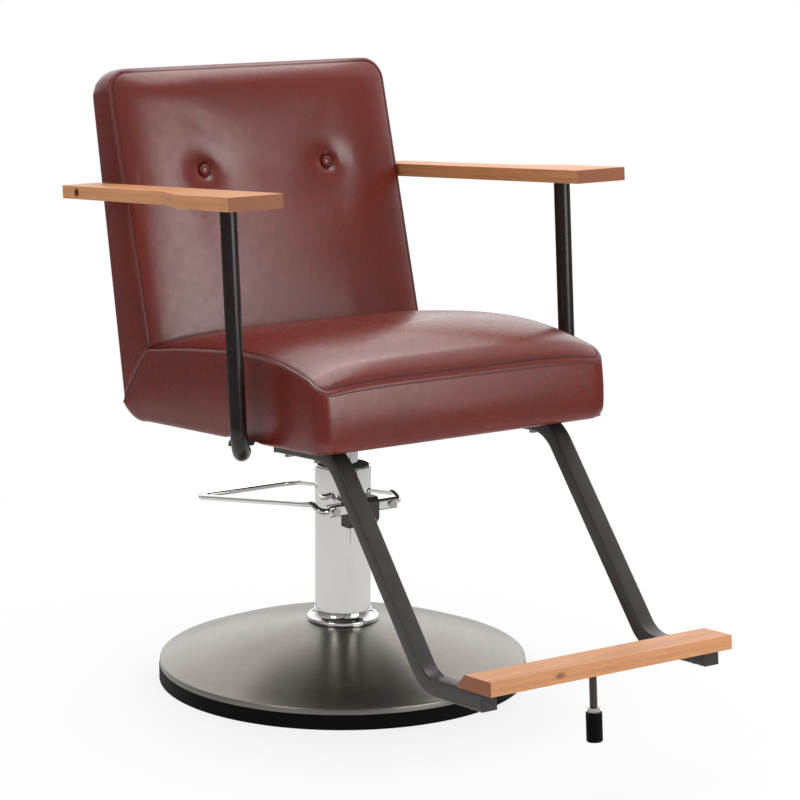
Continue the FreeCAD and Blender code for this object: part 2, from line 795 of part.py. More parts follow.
def make_column():
    """Pump foot, column, barrel, gland and the bolts that hold the foot."""
    body = new_body("pump_foot")
    sketch = new_sketch(body, "XY", S.plate_thick)
    rectangle(sketch, -S.foot_half, S.foot_half, -S.foot_half, S.foot_half, S.foot_corner)
    feature(body, "Pad", sketch, S.foot_thick)
    hexagon_holes(
        body, foot_bolt_places(), S.plate_thick, S.foot_bolt_r + S.slip, S.foot_thick
    )

    bolts = new_body("pump_foot_bolts")
    heads = new_sketch(bolts, "XY", FOOT_TOP)
    shanks = new_sketch(bolts, "XY", FOOT_TOP)
    for x, y in foot_bolt_places():
        hexagon(heads, x, y, S.bolt_head_r + 1)
        hexagon(shanks, x, y, S.foot_bolt_r)
    feature(bolts, "Pad", heads, S.foot_bolt_head)
    feature(bolts, "Pad", shanks, FOOT_TOP - S.foot_bolt_end, back=True)

    bore = S.column_r - S.column_wall
    body = turned("column", [
        (bore, FOOT_TOP), (S.column_r, FOOT_TOP),
        (S.column_r, S.column_top - S.column_wall / 2),
        (S.column_r - S.column_wall / 2, S.column_top), (bore, S.column_top),
    ])
    inside, through = S.column_r - S.column_wall * 3, S.column_wall * 4
    window = new_sketch(body, "XZ", inside)
    half = S.rocker_thick / 2 + S.window_play
    rectangle(window, -half, half, SHAFT_Z - S.window_low, SHAFT_Z + S.window_high)
    feature(body, "Pocket", window, through, back=True)
    screws = new_sketch(body, "XZ", inside)
    for x in (-S.bracket_screw_x, S.bracket_screw_x):
        hexagon(screws, x, bracket_screw_z(), S.screw_r)
    feature(body, "Pocket", screws, through, back=True)

    inner = S.barrel_r - S.barrel_wall
    floor = FOOT_TOP + S.barrel_floor
    turned("ram_barrel", [
        (ZERO, FOOT_TOP), (S.barrel_r, FOOT_TOP), (S.barrel_r, BARREL_TOP),
        (inner, BARREL_TOP), (inner, floor), (ZERO, floor),
    ])
    top = S.column_top - S.gland_sunk
    turned("rod_gland", ring_corners(
        S.rod_r + S.running, bore, S.column_top - S.gland_height, top
    ))


def make_ram():
    """Piston on its cup seal, the rod with its spigot, and the thrust washer."""
    stop = FOOT_TOP + S.barrel_floor + S.slip
    skirt = S.barrel_r - S.barrel_wall - S.running
    cup = stop + S.piston_seal
    turned("piston_seal", [(ZERO, stop), (skirt, stop), (skirt, cup), (ZERO, cup)])
    top = stop + S.piston_height
    turned("piston", [(ZERO, cup), (skirt, cup), (skirt, top), (ZERO, top)])
    turned("piston_rod", [
        (ZERO, top), (S.rod_r, top),
        (S.rod_r, SHOULDER_Z), (S.spigot_r, SHOULDER_Z),
        (S.spigot_r, SHOULDER_Z + S.spigot_length - 2),
        (S.spigot_r - 2, SHOULDER_Z + S.spigot_length),
        (ZERO, SHOULDER_Z + S.spigot_length),
    ])
    turned("thrust_washer", ring_corners(
        S.spigot_r + S.slip, S.hub_r - 1, SHOULDER_Z, SHOULDER_Z + S.washer_thick
    ))


# pump lever


def bracket_screw_z():
    """Height of the two screws that hold the shaft bracket."""
    return SHAFT_Z - S.bracket_below + S.bracket_screw_up


def make_bracket():
    """Forked block in front of the column that carries the lever shaft."""
    body = new_body("lever_bracket")
    half = S.bracket_half
    side = new_sketch(body, "YZ")
    low, high = SHAFT_Z - S.bracket_below, SHAFT_Z + S.bracket_above
    front = S.bracket_front
    rear = -S.column_r + S.bracket_wrap
    outline(side, [
        (-front, low + S.bracket_chin_up), (-front + S.bracket_chin, low), (rear, low),
        (rear, high), (-front + S.bracket_bevel, high), (-front, high - S.bracket_bevel),
    ])
    feature(body, "Pad", side, half * 2, "Symmetric")
    saddle = new_sketch(body, "XY", low - 1)
    circle(saddle, ZERO, ZERO, S.column_r)
    feature(body, "Pocket", saddle, S.bracket_above + S.bracket_below + 2, back=True)
    slot = new_sketch(body, "YZ")
    rectangle(
        slot, -S.shaft_y - S.rocker_hub - 1, -S.column_r + 12,
        SHAFT_Z - S.rocker_hub - 4, high + 1,
    )
    feature(body, "Pocket", slot, S.rocker_thick + 1, "Symmetric")
    bore = new_sketch(body, "YZ")
    circle(bore, -S.shaft_y, SHAFT_Z, S.shaft_r + S.running)
    feature(body, "Pocket", bore, half * 2 + 2, "Symmetric")
    seat = front - S.screw_head
    holes = new_sketch(body, "XZ", front)
    sinks = new_sketch(body, "XZ", front)
    screws = new_body("lever_bracket_screws")
    heads = new_sketch(screws, "XZ", seat)
    shanks = new_sketch(screws, "XZ", seat)
    for x in (-S.bracket_screw_x, S.bracket_screw_x):
        hexagon(holes, x, bracket_screw_z(), S.screw_r)
        hexagon(sinks, x, bracket_screw_z(), S.screw_head_r)
        hexagon(heads, x, bracket_screw_z(), S.screw_head_r)
        hexagon(shanks, x, bracket_screw_z(), S.screw_r)
    feature(body, "Pocket", holes, front)
    feature(body, "Pocket", sinks, S.screw_head)
    feature(screws, "Pad", heads, S.screw_head)
    feature(screws, "Pad", shanks, seat - S.column_r + S.column_wall, back=True)


def make_lever():
    """Shaft, rocker, clamps with their bolts, and the foot loop."""
    shaft = new_body("lever_shaft")
    sketch = new_sketch(shaft, "YZ")
    circle(sketch, -S.shaft_y, SHAFT_Z, S.shaft_r)
    feature(shaft, "Pad", sketch, S.shaft_half * 2, "Symmetric")
    make_rocker()
    for side, name in ((-1, "lever_clamp_right"), (1, "lever_clamp_left")):
        make_clamp(side, name)
    bolts = new_body("lever_clamp_bolts")
    heads = new_sketch(bolts, "XZ", S.shaft_y + S.clamp_side / 2)
    shanks = new_sketch(bolts, "XZ", S.shaft_y + S.clamp_side / 2)
    for side in (-1, 1):
        circle(heads, side * clamp_bolt_x(), SHAFT_Z, S.bolt_head_r - 1)
        hexagon(shanks, side * clamp_bolt_x(), SHAFT_Z, S.screw_r)
    feature(bolts, "Pad", heads, S.bolt_head - 1)
    feature(bolts, "Pad", shanks, S.clamp_side / 2 - S.loop_r, back=True)
    make_loop()


def clamp_bolt_x():
    """Clamp bolts from the centre line, on the ends of the loop."""
    return S.shaft_half + S.clamp_bolt_out


def clamp_start():
    """Inner end of a clamp from the centre line."""
    return S.bracket_half + S.clamp_play


def make_clamp(side, name):
    """One square clamp: the shaft enters from inside, the loop from outside."""
    body = new_body(name)
    start = clamp_start()
    end = start + S.clamp_length
    sketch = new_sketch(body, "YZ", side * start)
    half = S.clamp_side / 2
    y, z = -S.shaft_y, SHAFT_Z
    rectangle(sketch, y - half, y + half, z - half, z + half, S.clamp_corner)
    feature(body, "Pad", sketch, S.clamp_length, back=side < 0)
    wide = new_sketch(body, "YZ", side * start)
    circle(wide, y, z, S.shaft_r)
    feature(body, "Pocket", wide, S.shaft_half - start, back=side > 0)
    narrow = new_sketch(body, "YZ", side * end)
    circle(narrow, y, z, S.loop_r)
    feature(body, "Pocket", narrow, end - S.shaft_half, back=side < 0)
    thread = new_sketch(body, "XZ", S.shaft_y + half)
    hexagon(thread, side * clamp_bolt_x(), z, S.screw_r)
    feature(body, "Pocket", thread, half - S.loop_r)


def rocker_lift():
    """Height of the rocker's tip over the shaft at rest: half the stroke."""
    return S.rocker_arm * sine(S.lever_travel / 2)


def rocker_reach():
    """Distance of the rocker's tip behind the shaft at rest."""
    return S.rocker_arm * cosine(S.lever_travel / 2)


def make_rocker():
    """Short arm keyed on the shaft, with a round tip that pushes the plunger."""
    body = new_body("lever_rocker")
    y, z = -S.shaft_y, SHAFT_Z
    tip_y, tip_z = y + rocker_reach(), z + rocker_lift()
    turn = S.lever_travel / 2
    across_y, across_z = -sine(turn), cosine(turn)
    hub = new_sketch(body, "YZ")
    circle(hub, y, z, S.rocker_hub)
    feature(body, "Pad", hub, S.rocker_thick, "Symmetric")
    arm = new_sketch(body, "YZ")
    wide, thin, under = S.rocker_tip + 2, S.rocker_tip, S.rocker_tip / 4
    outline(arm, [
        (y - across_y * under, z - across_z * under),
        (tip_y - across_y * under, tip_z - across_z * under),
        (tip_y + across_y * thin, tip_z + across_z * thin),
        (y + across_y * wide, z + across_z * wide),
    ])
    feature(body, "Pad", arm, S.rocker_thick, "Symmetric")
    tip = new_sketch(body, "YZ")
    circle(tip, tip_y, tip_z, S.rocker_tip)
    feature(body, "Pad", tip, S.rocker_thick, "Symmetric")
    bore = new_sketch(body, "YZ")
    circle(bore, y, z, S.shaft_r)
    feature(body, "Pocket", bore, S.rocker_thick + 2, "Symmetric")


def make_loop():
    """The bent rod: out of both clamps, back past the column, joined by the bar."""
    start_x = S.shaft_half.value + 1
    y, z = -S.shaft_y.value, SHAFT_Z.value
    front, rear = S.loop_front_half.value, S.loop_back_half.value
    rise = S.loop_rise.value
    half_route = [
        Vector(start_x, y, z),
        Vector(front, y, z),
        Vector(front + 1, y + 22, z + rise),
        Vector(rear, S.loop_back_y.value, (SHAFT_Z - S.loop_drop).value),
    ]
    mirrored = [Vector(-p.x, p.y, p.z) for p in reversed(half_route)]
    radii = [S.loop_bend.value, 20, 24]
    wire = route_wire(half_route + mirrored, radii + radii[::-1])
    rod = rod_along(wire, S.loop_r.value)
    volume = math.pi * S.loop_r.value**2 * wire.Length
    print("lever_loop: volume over section times length", round(rod.Volume / volume, 4))
    new_shape("lever_loop", rod)


def make_plunger():
    """Pump plunger beside the barrel, and the sleeve that it slides in."""
    y = -S.shaft_y + rocker_reach()
    top = SHAFT_Z + rocker_lift() - S.rocker_tip - S.running
    body = new_body("pump_plunger")
    sketch = new_sketch(body, "XY", top - S.plunger_length)
    circle(sketch, ZERO, y, S.plunger_r)
    feature(body, "Pad", sketch, S.plunger_length)
    head = new_sketch(body, "XY", top)
    circle(head, ZERO, y, S.plunger_r + 1)
    feature(body, "Pad", head, Dim.of(3), back=True)
    sleeve = SHAFT_Z - S.sleeve_under - FOOT_TOP
    body = new_body("pump_sleeve")
    sketch = new_sketch(body, "XY", FOOT_TOP)
    circle(sketch, ZERO, y, S.plunger_r + S.sleeve_wall)
    feature(body, "Pad", sketch, sleeve)
    bore = new_sketch(body, "XY", FOOT_TOP + sleeve)
    circle(bore, ZERO, y, S.plunger_r + S.running)
    feature(body, "Pocket", bore, S.sleeve_bore)


# steelwork under the seat


def make_hub():
    """Hub on the rod's spigot, its top cut at the rake, and the seat plate."""
    body = turned("swivel_hub", [
        (S.spigot_r + S.running, SHOULDER_Z + S.washer_thick),
        (S.hub_r, SHOULDER_Z + S.washer_thick), (S.hub_r, RAKE_Z + S.deck_z * 2),
        (S.spigot_r + S.running, RAKE_Z + S.deck_z * 2),
    ])
    seat_z = S.deck_z - S.steel
    reach = S.hub_r + 20
    front_y, front_z = SEAT.to_world(-reach, seat_z)
    rear_y, rear_z = SEAT.to_world(reach, seat_z)
    wedge = new_sketch(body, "YZ")
    outline(wedge, [
        (front_y, front_z), (rear_y, rear_z),
        (rear_y, RAKE_Z + S.deck_z * 3), (front_y, RAKE_Z + S.deck_z * 3),
    ])
    feature(body, "Pocket", wedge, reach * 2, "Symmetric")

    plate = new_body("seat_plate", SEAT)
    sketch = new_sketch(plate, "XY", seat_z)
    x, y = S.plate_half_x, S.plate_half_y
    rectangle(sketch, -x, x, -y, y, S.plate_corner)
    feature(plate, "Pad", sketch, S.steel)
    places = plate_bolt_places()
    hexagon_holes(plate, places, seat_z, S.bolt_r + S.slip, S.steel)
    bolt_group(
        "seat_plate_bolts", SEAT, places, seat_z, S.bolt_head, S.bolt_head_r,
        S.steel + S.lining + S.bolt_grip, S.bolt_r,
    )


def plate_bolt_places():
    """The seat plate's four bolts."""
    x, y = S.plate_bolt_x, S.plate_bolt_y
    return [(x, y), (-x, y), (-x, -y), (x, -y)]


def strap_route():
    """Corners of a back strap: level under the board, then up the back."""
    mid = S.deck_z - S.steel / 2
    slope = BACK.tilt - SEAT.tilt
    plane_y = -S.back_board_at + S.steel / 2
    top_y, top_z = seat_point_of_back(plane_y, S.strap_up)
    run = (top_z - mid) * sine(slope) / cosine(slope)
    return [(S.strap_front, mid), (top_y - run, mid), (top_y, top_z)]


def seat_point_of_back(y, z):
    """The seat frame's y and z of a point of the back frame."""
    c, s = cosine(S.back_lean), sine(S.back_lean)
    return S.back_foot_y + y * c + z * s, S.back_foot_z - y * s + z * c


def make_straps():
    """Two steel straps that carry the back, with their screws."""
    route = strap_route()
    for side, name in ((-1, "back_strap_right"), (1, "back_strap_left")):
        bent_bar(name, side * S.strap_x, route, [S.strap_bend], S.strap_width, S.steel)
    places = strap_bolt_places()
    under = S.deck_z - S.steel
    strap_holes(places, under)
    bolt_group(
        "strap_seat_bolts", SEAT, places, under, S.bolt_head, S.bolt_head_r,
        S.steel + S.lining + S.bolt_grip, S.bolt_r,
    )
    face = S.back_board_at - S.steel
    screws = new_body("strap_back_bolts", BACK)
    heads = new_sketch(screws, "XZ", face)
    shanks = new_sketch(screws, "XZ", face)
    for place in back_bolt_places():
        hexagon(heads, *place, S.strap_bolt_head_r)
        hexagon(shanks, *place, S.strap_bolt_r)
    feature(screws, "Pad", heads, S.strap_bolt_head, back=True)
    feature(screws, "Pad", shanks, S.steel + S.back_bolt_grip)


def strap_holes(places, under):
    """Drill the straps where their bolts pass."""
    for body in NODES:
        if not body.Label.startswith("back_strap_"):
            continue
        side = -1 if body.Label.endswith("right") else 1
        own = [place for place in places if place[0].value * side > 0]
        hexagon_holes(body, own, under, S.bolt_r, S.steel)
        high = new_sketch(body, "XZ")
        for up in (S.back_bolt_low, S.back_bolt_high):
            y, z = seat_point_of_back(ZERO, up)
            level = y * sine(S.back_lean) + z * cosine(S.back_lean)
            hexagon(high, side * S.strap_x, level, S.strap_bolt_r)
        high.AttachmentOffset = Placement(Vector(), Rotation(Vector(-1, 0, 0), S.back_lean.value))
        high.setExpression("AttachmentOffset.Rotation.Angle", S.back_lean.text)
        feature(body, "Pocket", high, S.back_foot_y * 4, "Symmetric")


def strap_bolt_places():
    """The bolts (x, y) that hold the straps under the seat board."""
    ways = (S.strap_front + S.strap_bolt_near, S.strap_front + S.strap_bolt_far)
    return [(side * S.strap_x, y) for side in (-1, 1) for y in ways]


def back_bolt_places():
    """The strap bolts (x, z) in the back frame."""
    ups = (S.back_bolt_low, S.back_bolt_high)
    return [(side * S.strap_x, up) for side in (-1, 1) for up in ups]


def leg_bolt_places():
    """The bolts (x, y) that hold the legs under the seat board."""
    ways = (-S.leg_bolt_back, -S.leg_bolt_front)
    return [(side * S.leg_x, y) for side in (-1, 1) for y in ways]


def make_legs():
    """Two bent square tubes, their caps and their bolts."""
    mid = S.deck_z - S.tube / 2
    foot = mid - S.leg_drop
    route = [(-S.leg_back, mid), (-S.leg_knee, mid), (-S.leg_ankle, foot), (-S.leg_toe, foot)]
    bends = [S.knee_bend, S.ankle_bend]
    bolts = leg_bolt_places()
    screws = [
        (s * S.leg_x, -y) for s in (-1, 1) for y in (S.plank_screw_back, S.plank_screw_front)
    ]
    under = S.deck_z - S.tube
    low = under - S.leg_drop
    for side, name in ((-1, "leg_tube_right"), (1, "leg_tube_left")):
        body = bent_bar(name, side * S.leg_x, route, bends, S.tube, S.tube, S.tube_wall)
        for places, level, radius in ((bolts, under, S.bolt_r), (screws, low, S.screw_r)):
            own = [place for place in places if place[0].value * side > 0]
            hexagon_holes(body, own, level, radius, S.tube)
    bolt_group(
        "leg_bolts", SEAT, bolts, under, S.bolt_head, S.bolt_head_r,
        S.tube + S.lining + S.bolt_grip, S.bolt_r,
    )
    bolt_group(
        "footrest_screws", SEAT, screws, low, S.screw_head, S.screw_head_r,
        S.tube + S.screw_bite, S.screw_r,
    )
    caps = new_body("leg_end_caps", SEAT)
    for y, z, back in ((S.leg_toe, foot, False), (-S.leg_back, mid, True)):
        at = y if not back else -y
        side_way = 1 if not back else -1
        plugs = new_sketch(caps, "XZ", at - side_way * S.cap_plug)
        faces = new_sketch(caps, "XZ", at)
        hole = S.tube / 2 - S.tube_wall
        half = S.tube / 2
        for side in (-1, 1):
            x = side * S.leg_x
            rectangle(plugs, x - hole, x + hole, z - hole, z + hole)
            rectangle(faces, x - half, x + half, z - half, z + half)
        feature(caps, "Pad", faces, S.cap_head, back=back)
        feature(caps, "Pad", plugs, S.cap_plug, back=back)


def make_footrest():
    """Wooden plank with a bevelled rear edge, and the rubber bumper under it."""
    top = S.deck_z - S.leg_drop + S.plank_thick
    low = S.deck_z - S.leg_drop
    body = new_body("footrest_plank", SEAT)
    side = new_sketch(body, "YZ")
    rear = -S.plank_front + S.plank_depth
    outline(side, [
        (-S.plank_front, low), (rear + S.plank_thick, low), (rear, top), (-S.plank_front, top),
    ])
    feature(body, "Pad", side, PLANK_HALF * 2, "Symmetric")
    ways = (-S.plank_screw_back, -S.plank_screw_front)
    screws = [(x, y) for x in (-S.leg_x, S.leg_x) for y in ways]
    hexagon_holes(body, screws, low, S.screw_r, S.screw_bite)
    hexagon_holes(body, [(ZERO, -S.bumper_y)], low, S.bolt_r, S.screw_bite)
    fillet_edges(body, is_long_edge(S.plank_depth.value * 1.5), S.arm_edge)

    y = -S.bumper_y
    flange = new_body("bumper_flange", SEAT)
    sketch = new_sketch(flange, "XY", low - S.bumper_flange)
    circle(sketch, ZERO, y, S.bumper_flange_r)
    feature(flange, "Pad", sketch, S.bumper_flange)
    hexagon_holes(flange, [(ZERO, y)], low - S.bumper_flange, S.bolt_r, S.bumper_flange)
    rod = new_body("bumper_rod", SEAT)
    sketch = new_sketch(rod, "XY", low - S.bumper_rod_drop)
    circle(sketch, ZERO, y, S.bumper_rod_r)
    feature(rod, "Pad", sketch, S.bumper_rod_drop - S.bumper_flange)
    stud = new_sketch(rod, "XY", low - S.bumper_flange)
    hexagon(stud, ZERO, y, S.bolt_r)
    feature(rod, "Pad", stud, S.bumper_flange + S.screw_bite)
    nut = new_body("bumper_nut", SEAT)
    sketch = new_sketch(nut, "XY", low - S.bumper_rod_drop)
    hexagon(sketch, ZERO, y, S.bumper_nut_r)
    feature(nut, "Pad", sketch, S.bumper_nut, back=True)
    foot = new_body("bumper_rubber", SEAT)
    sketch = new_sketch(foot, "XY", low - S.bumper_rod_drop - S.bumper_nut)
    circle(sketch, ZERO, y, S.bumper_r)
    feature(foot, "Pad", sketch, S.bumper_height, back=True)
    bottom = (low - S.bumper_rod_drop - S.bumper_nut - S.bumper_height).value
    chamfer_edges(foot, lambda edge: abs(edge.CenterOfMass.z - bottom) < 0.1, S.bumper_bevel)


def is_long_edge(length):
    """A test for edges longer than length."""
    return lambda edge: edge.Length > length


# arms and posts


def make_arm(side, name):
    """One wooden arm: wide in front, slanting in to a narrow rear half."""
    body = new_body(name, SEAT)
    sketch = new_sketch(body, "XY", S.arm_top)
    inner = side * ARM_INNER
    wide = side * (ARM_INNER + S.arm_wide)
    narrow = side * (ARM_INNER + S.arm_narrow)
    corners = [
        (inner, -S.arm_front), (wide, -S.arm_front), (wide, -S.arm_step_front),
        (narrow, -S.arm_step_back), (narrow, S.arm_back), (inner, S.arm_back),
    ]
    outline(sketch, corners)
    feature(body, "Pad", sketch, S.arm_thick, back=True)
    fillet_edges(body, is_long_edge(S.arm_wide.value * 0.5), S.arm_edge)
    low = S.arm_top - S.arm_thick
    socket = new_sketch(body, "XY", low)
    circle(socket, side * POST_X, -S.post_y, S.post_r)
    feature(body, "Pocket", socket, S.post_seat, back=True)
    stud = new_sketch(body, "XY", low + S.post_seat)
    hexagon(stud, side * POST_X, -S.post_y, S.bolt_r)
    feature(body, "Pocket", stud, S.arm_thick - S.post_seat - S.arm_skin, back=True)
    mid = S.arm_top - S.arm_thick / 2
    bore = new_sketch(body, "YZ", narrow)
    circle(bore, S.arm_bolt_y, mid, S.arm_bore_r)
    feature(body, "Pocket", bore, S.arm_bore_depth, back=side < 0)
    hole = new_sketch(body, "YZ", narrow)
    circle(hole, S.arm_bolt_y, mid, S.arm_bolt_r + S.slip)
    feature(body, "Pocket", hole, S.arm_narrow, back=side < 0)


def make_arm_fixings():
    """Bolt and spacer sleeve that hold each arm's rear end to the back board."""
    mid = S.arm_top - S.arm_thick / 2
    seat_x = ARM_INNER + S.arm_narrow - S.arm_bore_depth
    bolts = new_body("arm_bolts", SEAT)
    sleeves = new_body("arm_spacers", SEAT)
    for side in (-1, 1):
        heads = new_sketch(bolts, "YZ", side * seat_x)
        circle(heads, S.arm_bolt_y, mid, S.arm_bore_r - S.slip * 2)
        feature(bolts, "Pad", heads, S.bolt_head, back=side < 0)
        shanks = new_sketch(bolts, "YZ", side * seat_x)
        circle(shanks, S.arm_bolt_y, mid, S.arm_bolt_r)
        feature(bolts, "Pad", shanks, seat_x - BACK_BOARD_HALF + S.arm_bolt_grip, back=side > 0)
        ring = new_sketch(sleeves, "YZ", side * BACK_BOARD_HALF)
        circle(ring, S.arm_bolt_y, mid, S.spacer_r)
        circle(ring, S.arm_bolt_y, mid, S.arm_bolt_r)
        feature(sleeves, "Pad", ring, ARM_INNER - BACK_BOARD_HALF, back=side < 0)


def post_way(side):
    """Direction of a post's foot in the seat frame, as (x, y)."""
    return -side * cosine(S.post_turn), sine(S.post_turn)


def flange_point(side, distance):
    """Point (x, y) at a distance from the post's axis along its foot."""
    way_x, way_y = post_way(side)
    return side * POST_X + way_x * distance, -S.post_y + way_y * distance


def make_post(side, tag):
    """One round post, a tube down to its bend under the seat, and its flange plate."""
    top = S.arm_top - S.arm_thick + S.post_seat
    foot_z = S.deck_z - S.flange - S.post_r
    x, y = (side * POST_X).value, -S.post_y.value
    end_x, end_y = flange_point(side, S.post_run)
    wire = route_wire(
        [
            Vector(x, y, top.value),
            Vector(x, y, foot_z.value),
            Vector(end_x.value, end_y.value, foot_z.value),
        ],
        [S.post_bend.value],
    )
    bore = (S.post_r - S.post_wall).value
    depth = (top - foot_z - S.post_bend).value
    hollow = Part.makeCylinder(bore, depth, Vector(x, y, top.value), Vector(0, 0, -1))
    new_shape("arm_post_" + tag, rod_along(wire, S.post_r.value).cut(hollow), SEAT)

    plate = new_body("post_flange_" + tag, SEAT)
    sketch = new_sketch(plate, "XY", S.deck_z - S.flange)
    way_x, way_y = post_way(side)
    half = S.flange_width / 2
    near, far = S.flange_start, S.flange_end
    corners = []
    for distance, across in ((near, -half), (far, -half), (far, half), (near, half)):
        px, py = flange_point(side, distance)
        corners.append((px - way_y * across, py + way_x * across, S.flange_corner))
    outline(sketch, corners if side > 0 else corners[::-1])
    feature(plate, "Pad", sketch, S.flange)
    hexagon_holes(plate, flange_bolt_places(side), S.deck_z - S.flange, S.bolt_r, S.flange)


def flange_bolt_places(side):
    """The two bolts of one post's flange plate."""
    return [flange_point(side, d) for d in (S.flange_bolt_near, S.flange_bolt_far)]


def make_post_fixings():
    """Flange bolts, and the studded plugs that hold the arms on the posts."""
    places = flange_bolt_places(-1) + flange_bolt_places(1)
    bolt_group(
        "post_flange_bolts", SEAT, places, S.deck_z - S.flange, S.bolt_head,
        S.bolt_head_r, S.flange + S.lining + S.bolt_grip, S.bolt_r,
    )
    top = S.arm_top - S.arm_thick + S.post_seat
    plugs = new_body("post_plugs", SEAT)
    discs = new_sketch(plugs, "XY", top)
    studs = new_sketch(plugs, "XY", top)
    for side in (-1, 1):
        circle(discs, side * POST_X, -S.post_y, S.post_r - S.post_wall)
        hexagon(studs, side * POST_X, -S.post_y, S.bolt_r)
    feature(plugs, "Pad", discs, S.plug_depth, back=True)
    feature(plugs, "Pad", studs, S.arm_thick - S.post_seat - S.arm_skin)


# boards and cushions


def board_underside():
    """Underside of the seat board."""
    return S.deck_z + S.lining


def through_board_places():
    """Every bolt that passes the dust cloth into the seat board."""
    posts = flange_bolt_places(-1) + flange_bolt_places(1)
    return plate_bolt_places() + leg_bolt_places() + strap_bolt_places() + posts


def make_boards():
    """Seat board with its dust cloth, back board and padded rear panel."""
    x = SEAT_BOARD_HALF
    cloth = new_body("seat_dust_cloth", SEAT)
    sketch = new_sketch(cloth, "XY", S.deck_z)
    rectangle(sketch, -x, x, -S.board_front, S.board_back)
    feature(cloth, "Pad", sketch, S.lining)
    hexagon_holes(cloth, through_board_places(), S.deck_z, S.bolt_r, S.lining)
    board = new_body("seat_board", SEAT)
    sketch = new_sketch(board, "XY", board_underside())
    rectangle(sketch, -x, x, -S.board_front, S.board_back)
    feature(board, "Pad", sketch, S.board_thick)
    hexagon_holes(board, through_board_places(), board_underside(), S.bolt_r, S.bolt_grip)

    x = BACK_BOARD_HALF
    back = new_body("back_board", BACK)
    sketch = new_sketch(back, "XZ", S.back_board_at)
    rectangle(sketch, -x, x, S.back_board_foot, BACK_CAVITY_TOP - S.slip)
    feature(back, "Pad", sketch, S.back_board_thick)
    holes = new_sketch(back, "XZ", S.back_board_at)
    for place in back_bolt_places():
        hexagon(holes, *place, S.strap_bolt_r)
    feature(back, "Pocket", holes, S.back_bolt_grip, back=True)
    arm_y, arm_z = arm_bolt_in_back()
    for side in (-1, 1):
        edge = new_sketch(back, "YZ", side * x)
        circle(edge, arm_y, arm_z, S.arm_bolt_r)
        feature(back, "Pocket", edge, S.arm_bolt_grip, back=side < 0)

    panel = new_body("back_panel", BACK)
    face = S.back_board_at - S.steel
    sketch = new_sketch(panel, "YZ")
    outline(sketch, [
        (ZERO, mitre_in_back(ZERO)), (ZERO, BACK_CAVITY_TOP - S.slip),
        (-face, BACK_CAVITY_TOP - S.slip), (-face, mitre_in_back(-face)),
    ])
    feature(panel, "Pad", sketch, BACK_BOARD_HALF * 2, "Symmetric")
    dents = new_sketch(panel, "XZ", face)
    for place in back_bolt_places():
        hexagon(dents, *place, S.strap_bolt_head_r + S.clearance)
    feature(panel, "Pocket", dents, S.strap_bolt_head + S.clearance)


def mitre_in_back(y):
    """Height of the back's mitred foot in its own frame at y."""
    c, s = cosine(S.back_lean), sine(S.back_lean)
    joint = S.mitre + S.mitre_gap / 2 - S.back_foot_y - S.back_foot_z
    return (joint - y * (c - s)) / (s + c)


def arm_bolt_in_back():
    """The arm bolt's y and z in the back frame."""
    mid = S.arm_top - S.arm_thick / 2
    return BACK.from_parent(SEAT, S.arm_bolt_y, mid)


def seat_section(body, ahead, inset, rise, seam, crown):
    """One cross section of the seat: flat below, swollen sides and a crown.

    Args:
        body: The cushion.
        ahead: The section's place ahead of the axis.
        inset: How far the seams stand in from the cushion's half width.
        rise: Underside over the padded edge's level.
        seam: Level of the side seams.
        crown: Height of the crown over the seams.
    """
    sketch = new_sketch(body, "XZ", ahead)
    half = S.seat_half - inset
    low, high = S.seat_under + rise, Dim.of(seam)
    outline(sketch, [
        (-half, low), (half, low, None, S.side_swell),
        (half, high, None, Dim.of(crown)), (-half, high, None, S.side_swell),
    ])
    return sketch


def loft(body, sections):
    """A body through the sections, straight from each to the next."""
    made = body.newObject("PartDesign::AdditiveLoft", body.Name + "_loft")
    made.Profile = sections[0]
    made.Sections = [(section, [""]) for section in sections[1:]]
    made.Ruled = True
    body.Tip = made


# Reach of the cuts that trim the cushions, past all that they trim.
CLEAR = Dim.of(120)
SEAT_CLEAR = Dim.of(260)

# Seat sections from the rear end to the nose, evenly spaced: inset of the sides,
# rise of the underside, height of the side seam, and crown over the seam.
SEAT_SECTIONS = (
    (0, 0, 125, 12),
    (0, 0, 130, 18),
    (0, 0, 138, 24),
    (0, 0, 143, 27),
    (0, 0, 146, 27),
    (0, 0, 137, 31),
    (0, 0, 117, 30),
)

# The nose's sections, from the last seat section to the front seam.
NOSE_SECTIONS = (
    (0, 0, 117, 30),
    (0.8, 0.3, 113, 26),
    (4, 1.8, 108, 18),
    (14, 6, 101, 6),
)

# Crown of the back's front face over its seams, from foot to top.
BACK_CROWNS = (20, 22, 24, 26, 27, 26, 19)


def evenly(first, last, count):
    """Places from first to last, evenly spaced."""
    return [first + (last - first) * (k / (count - 1)) for k in range(count)]


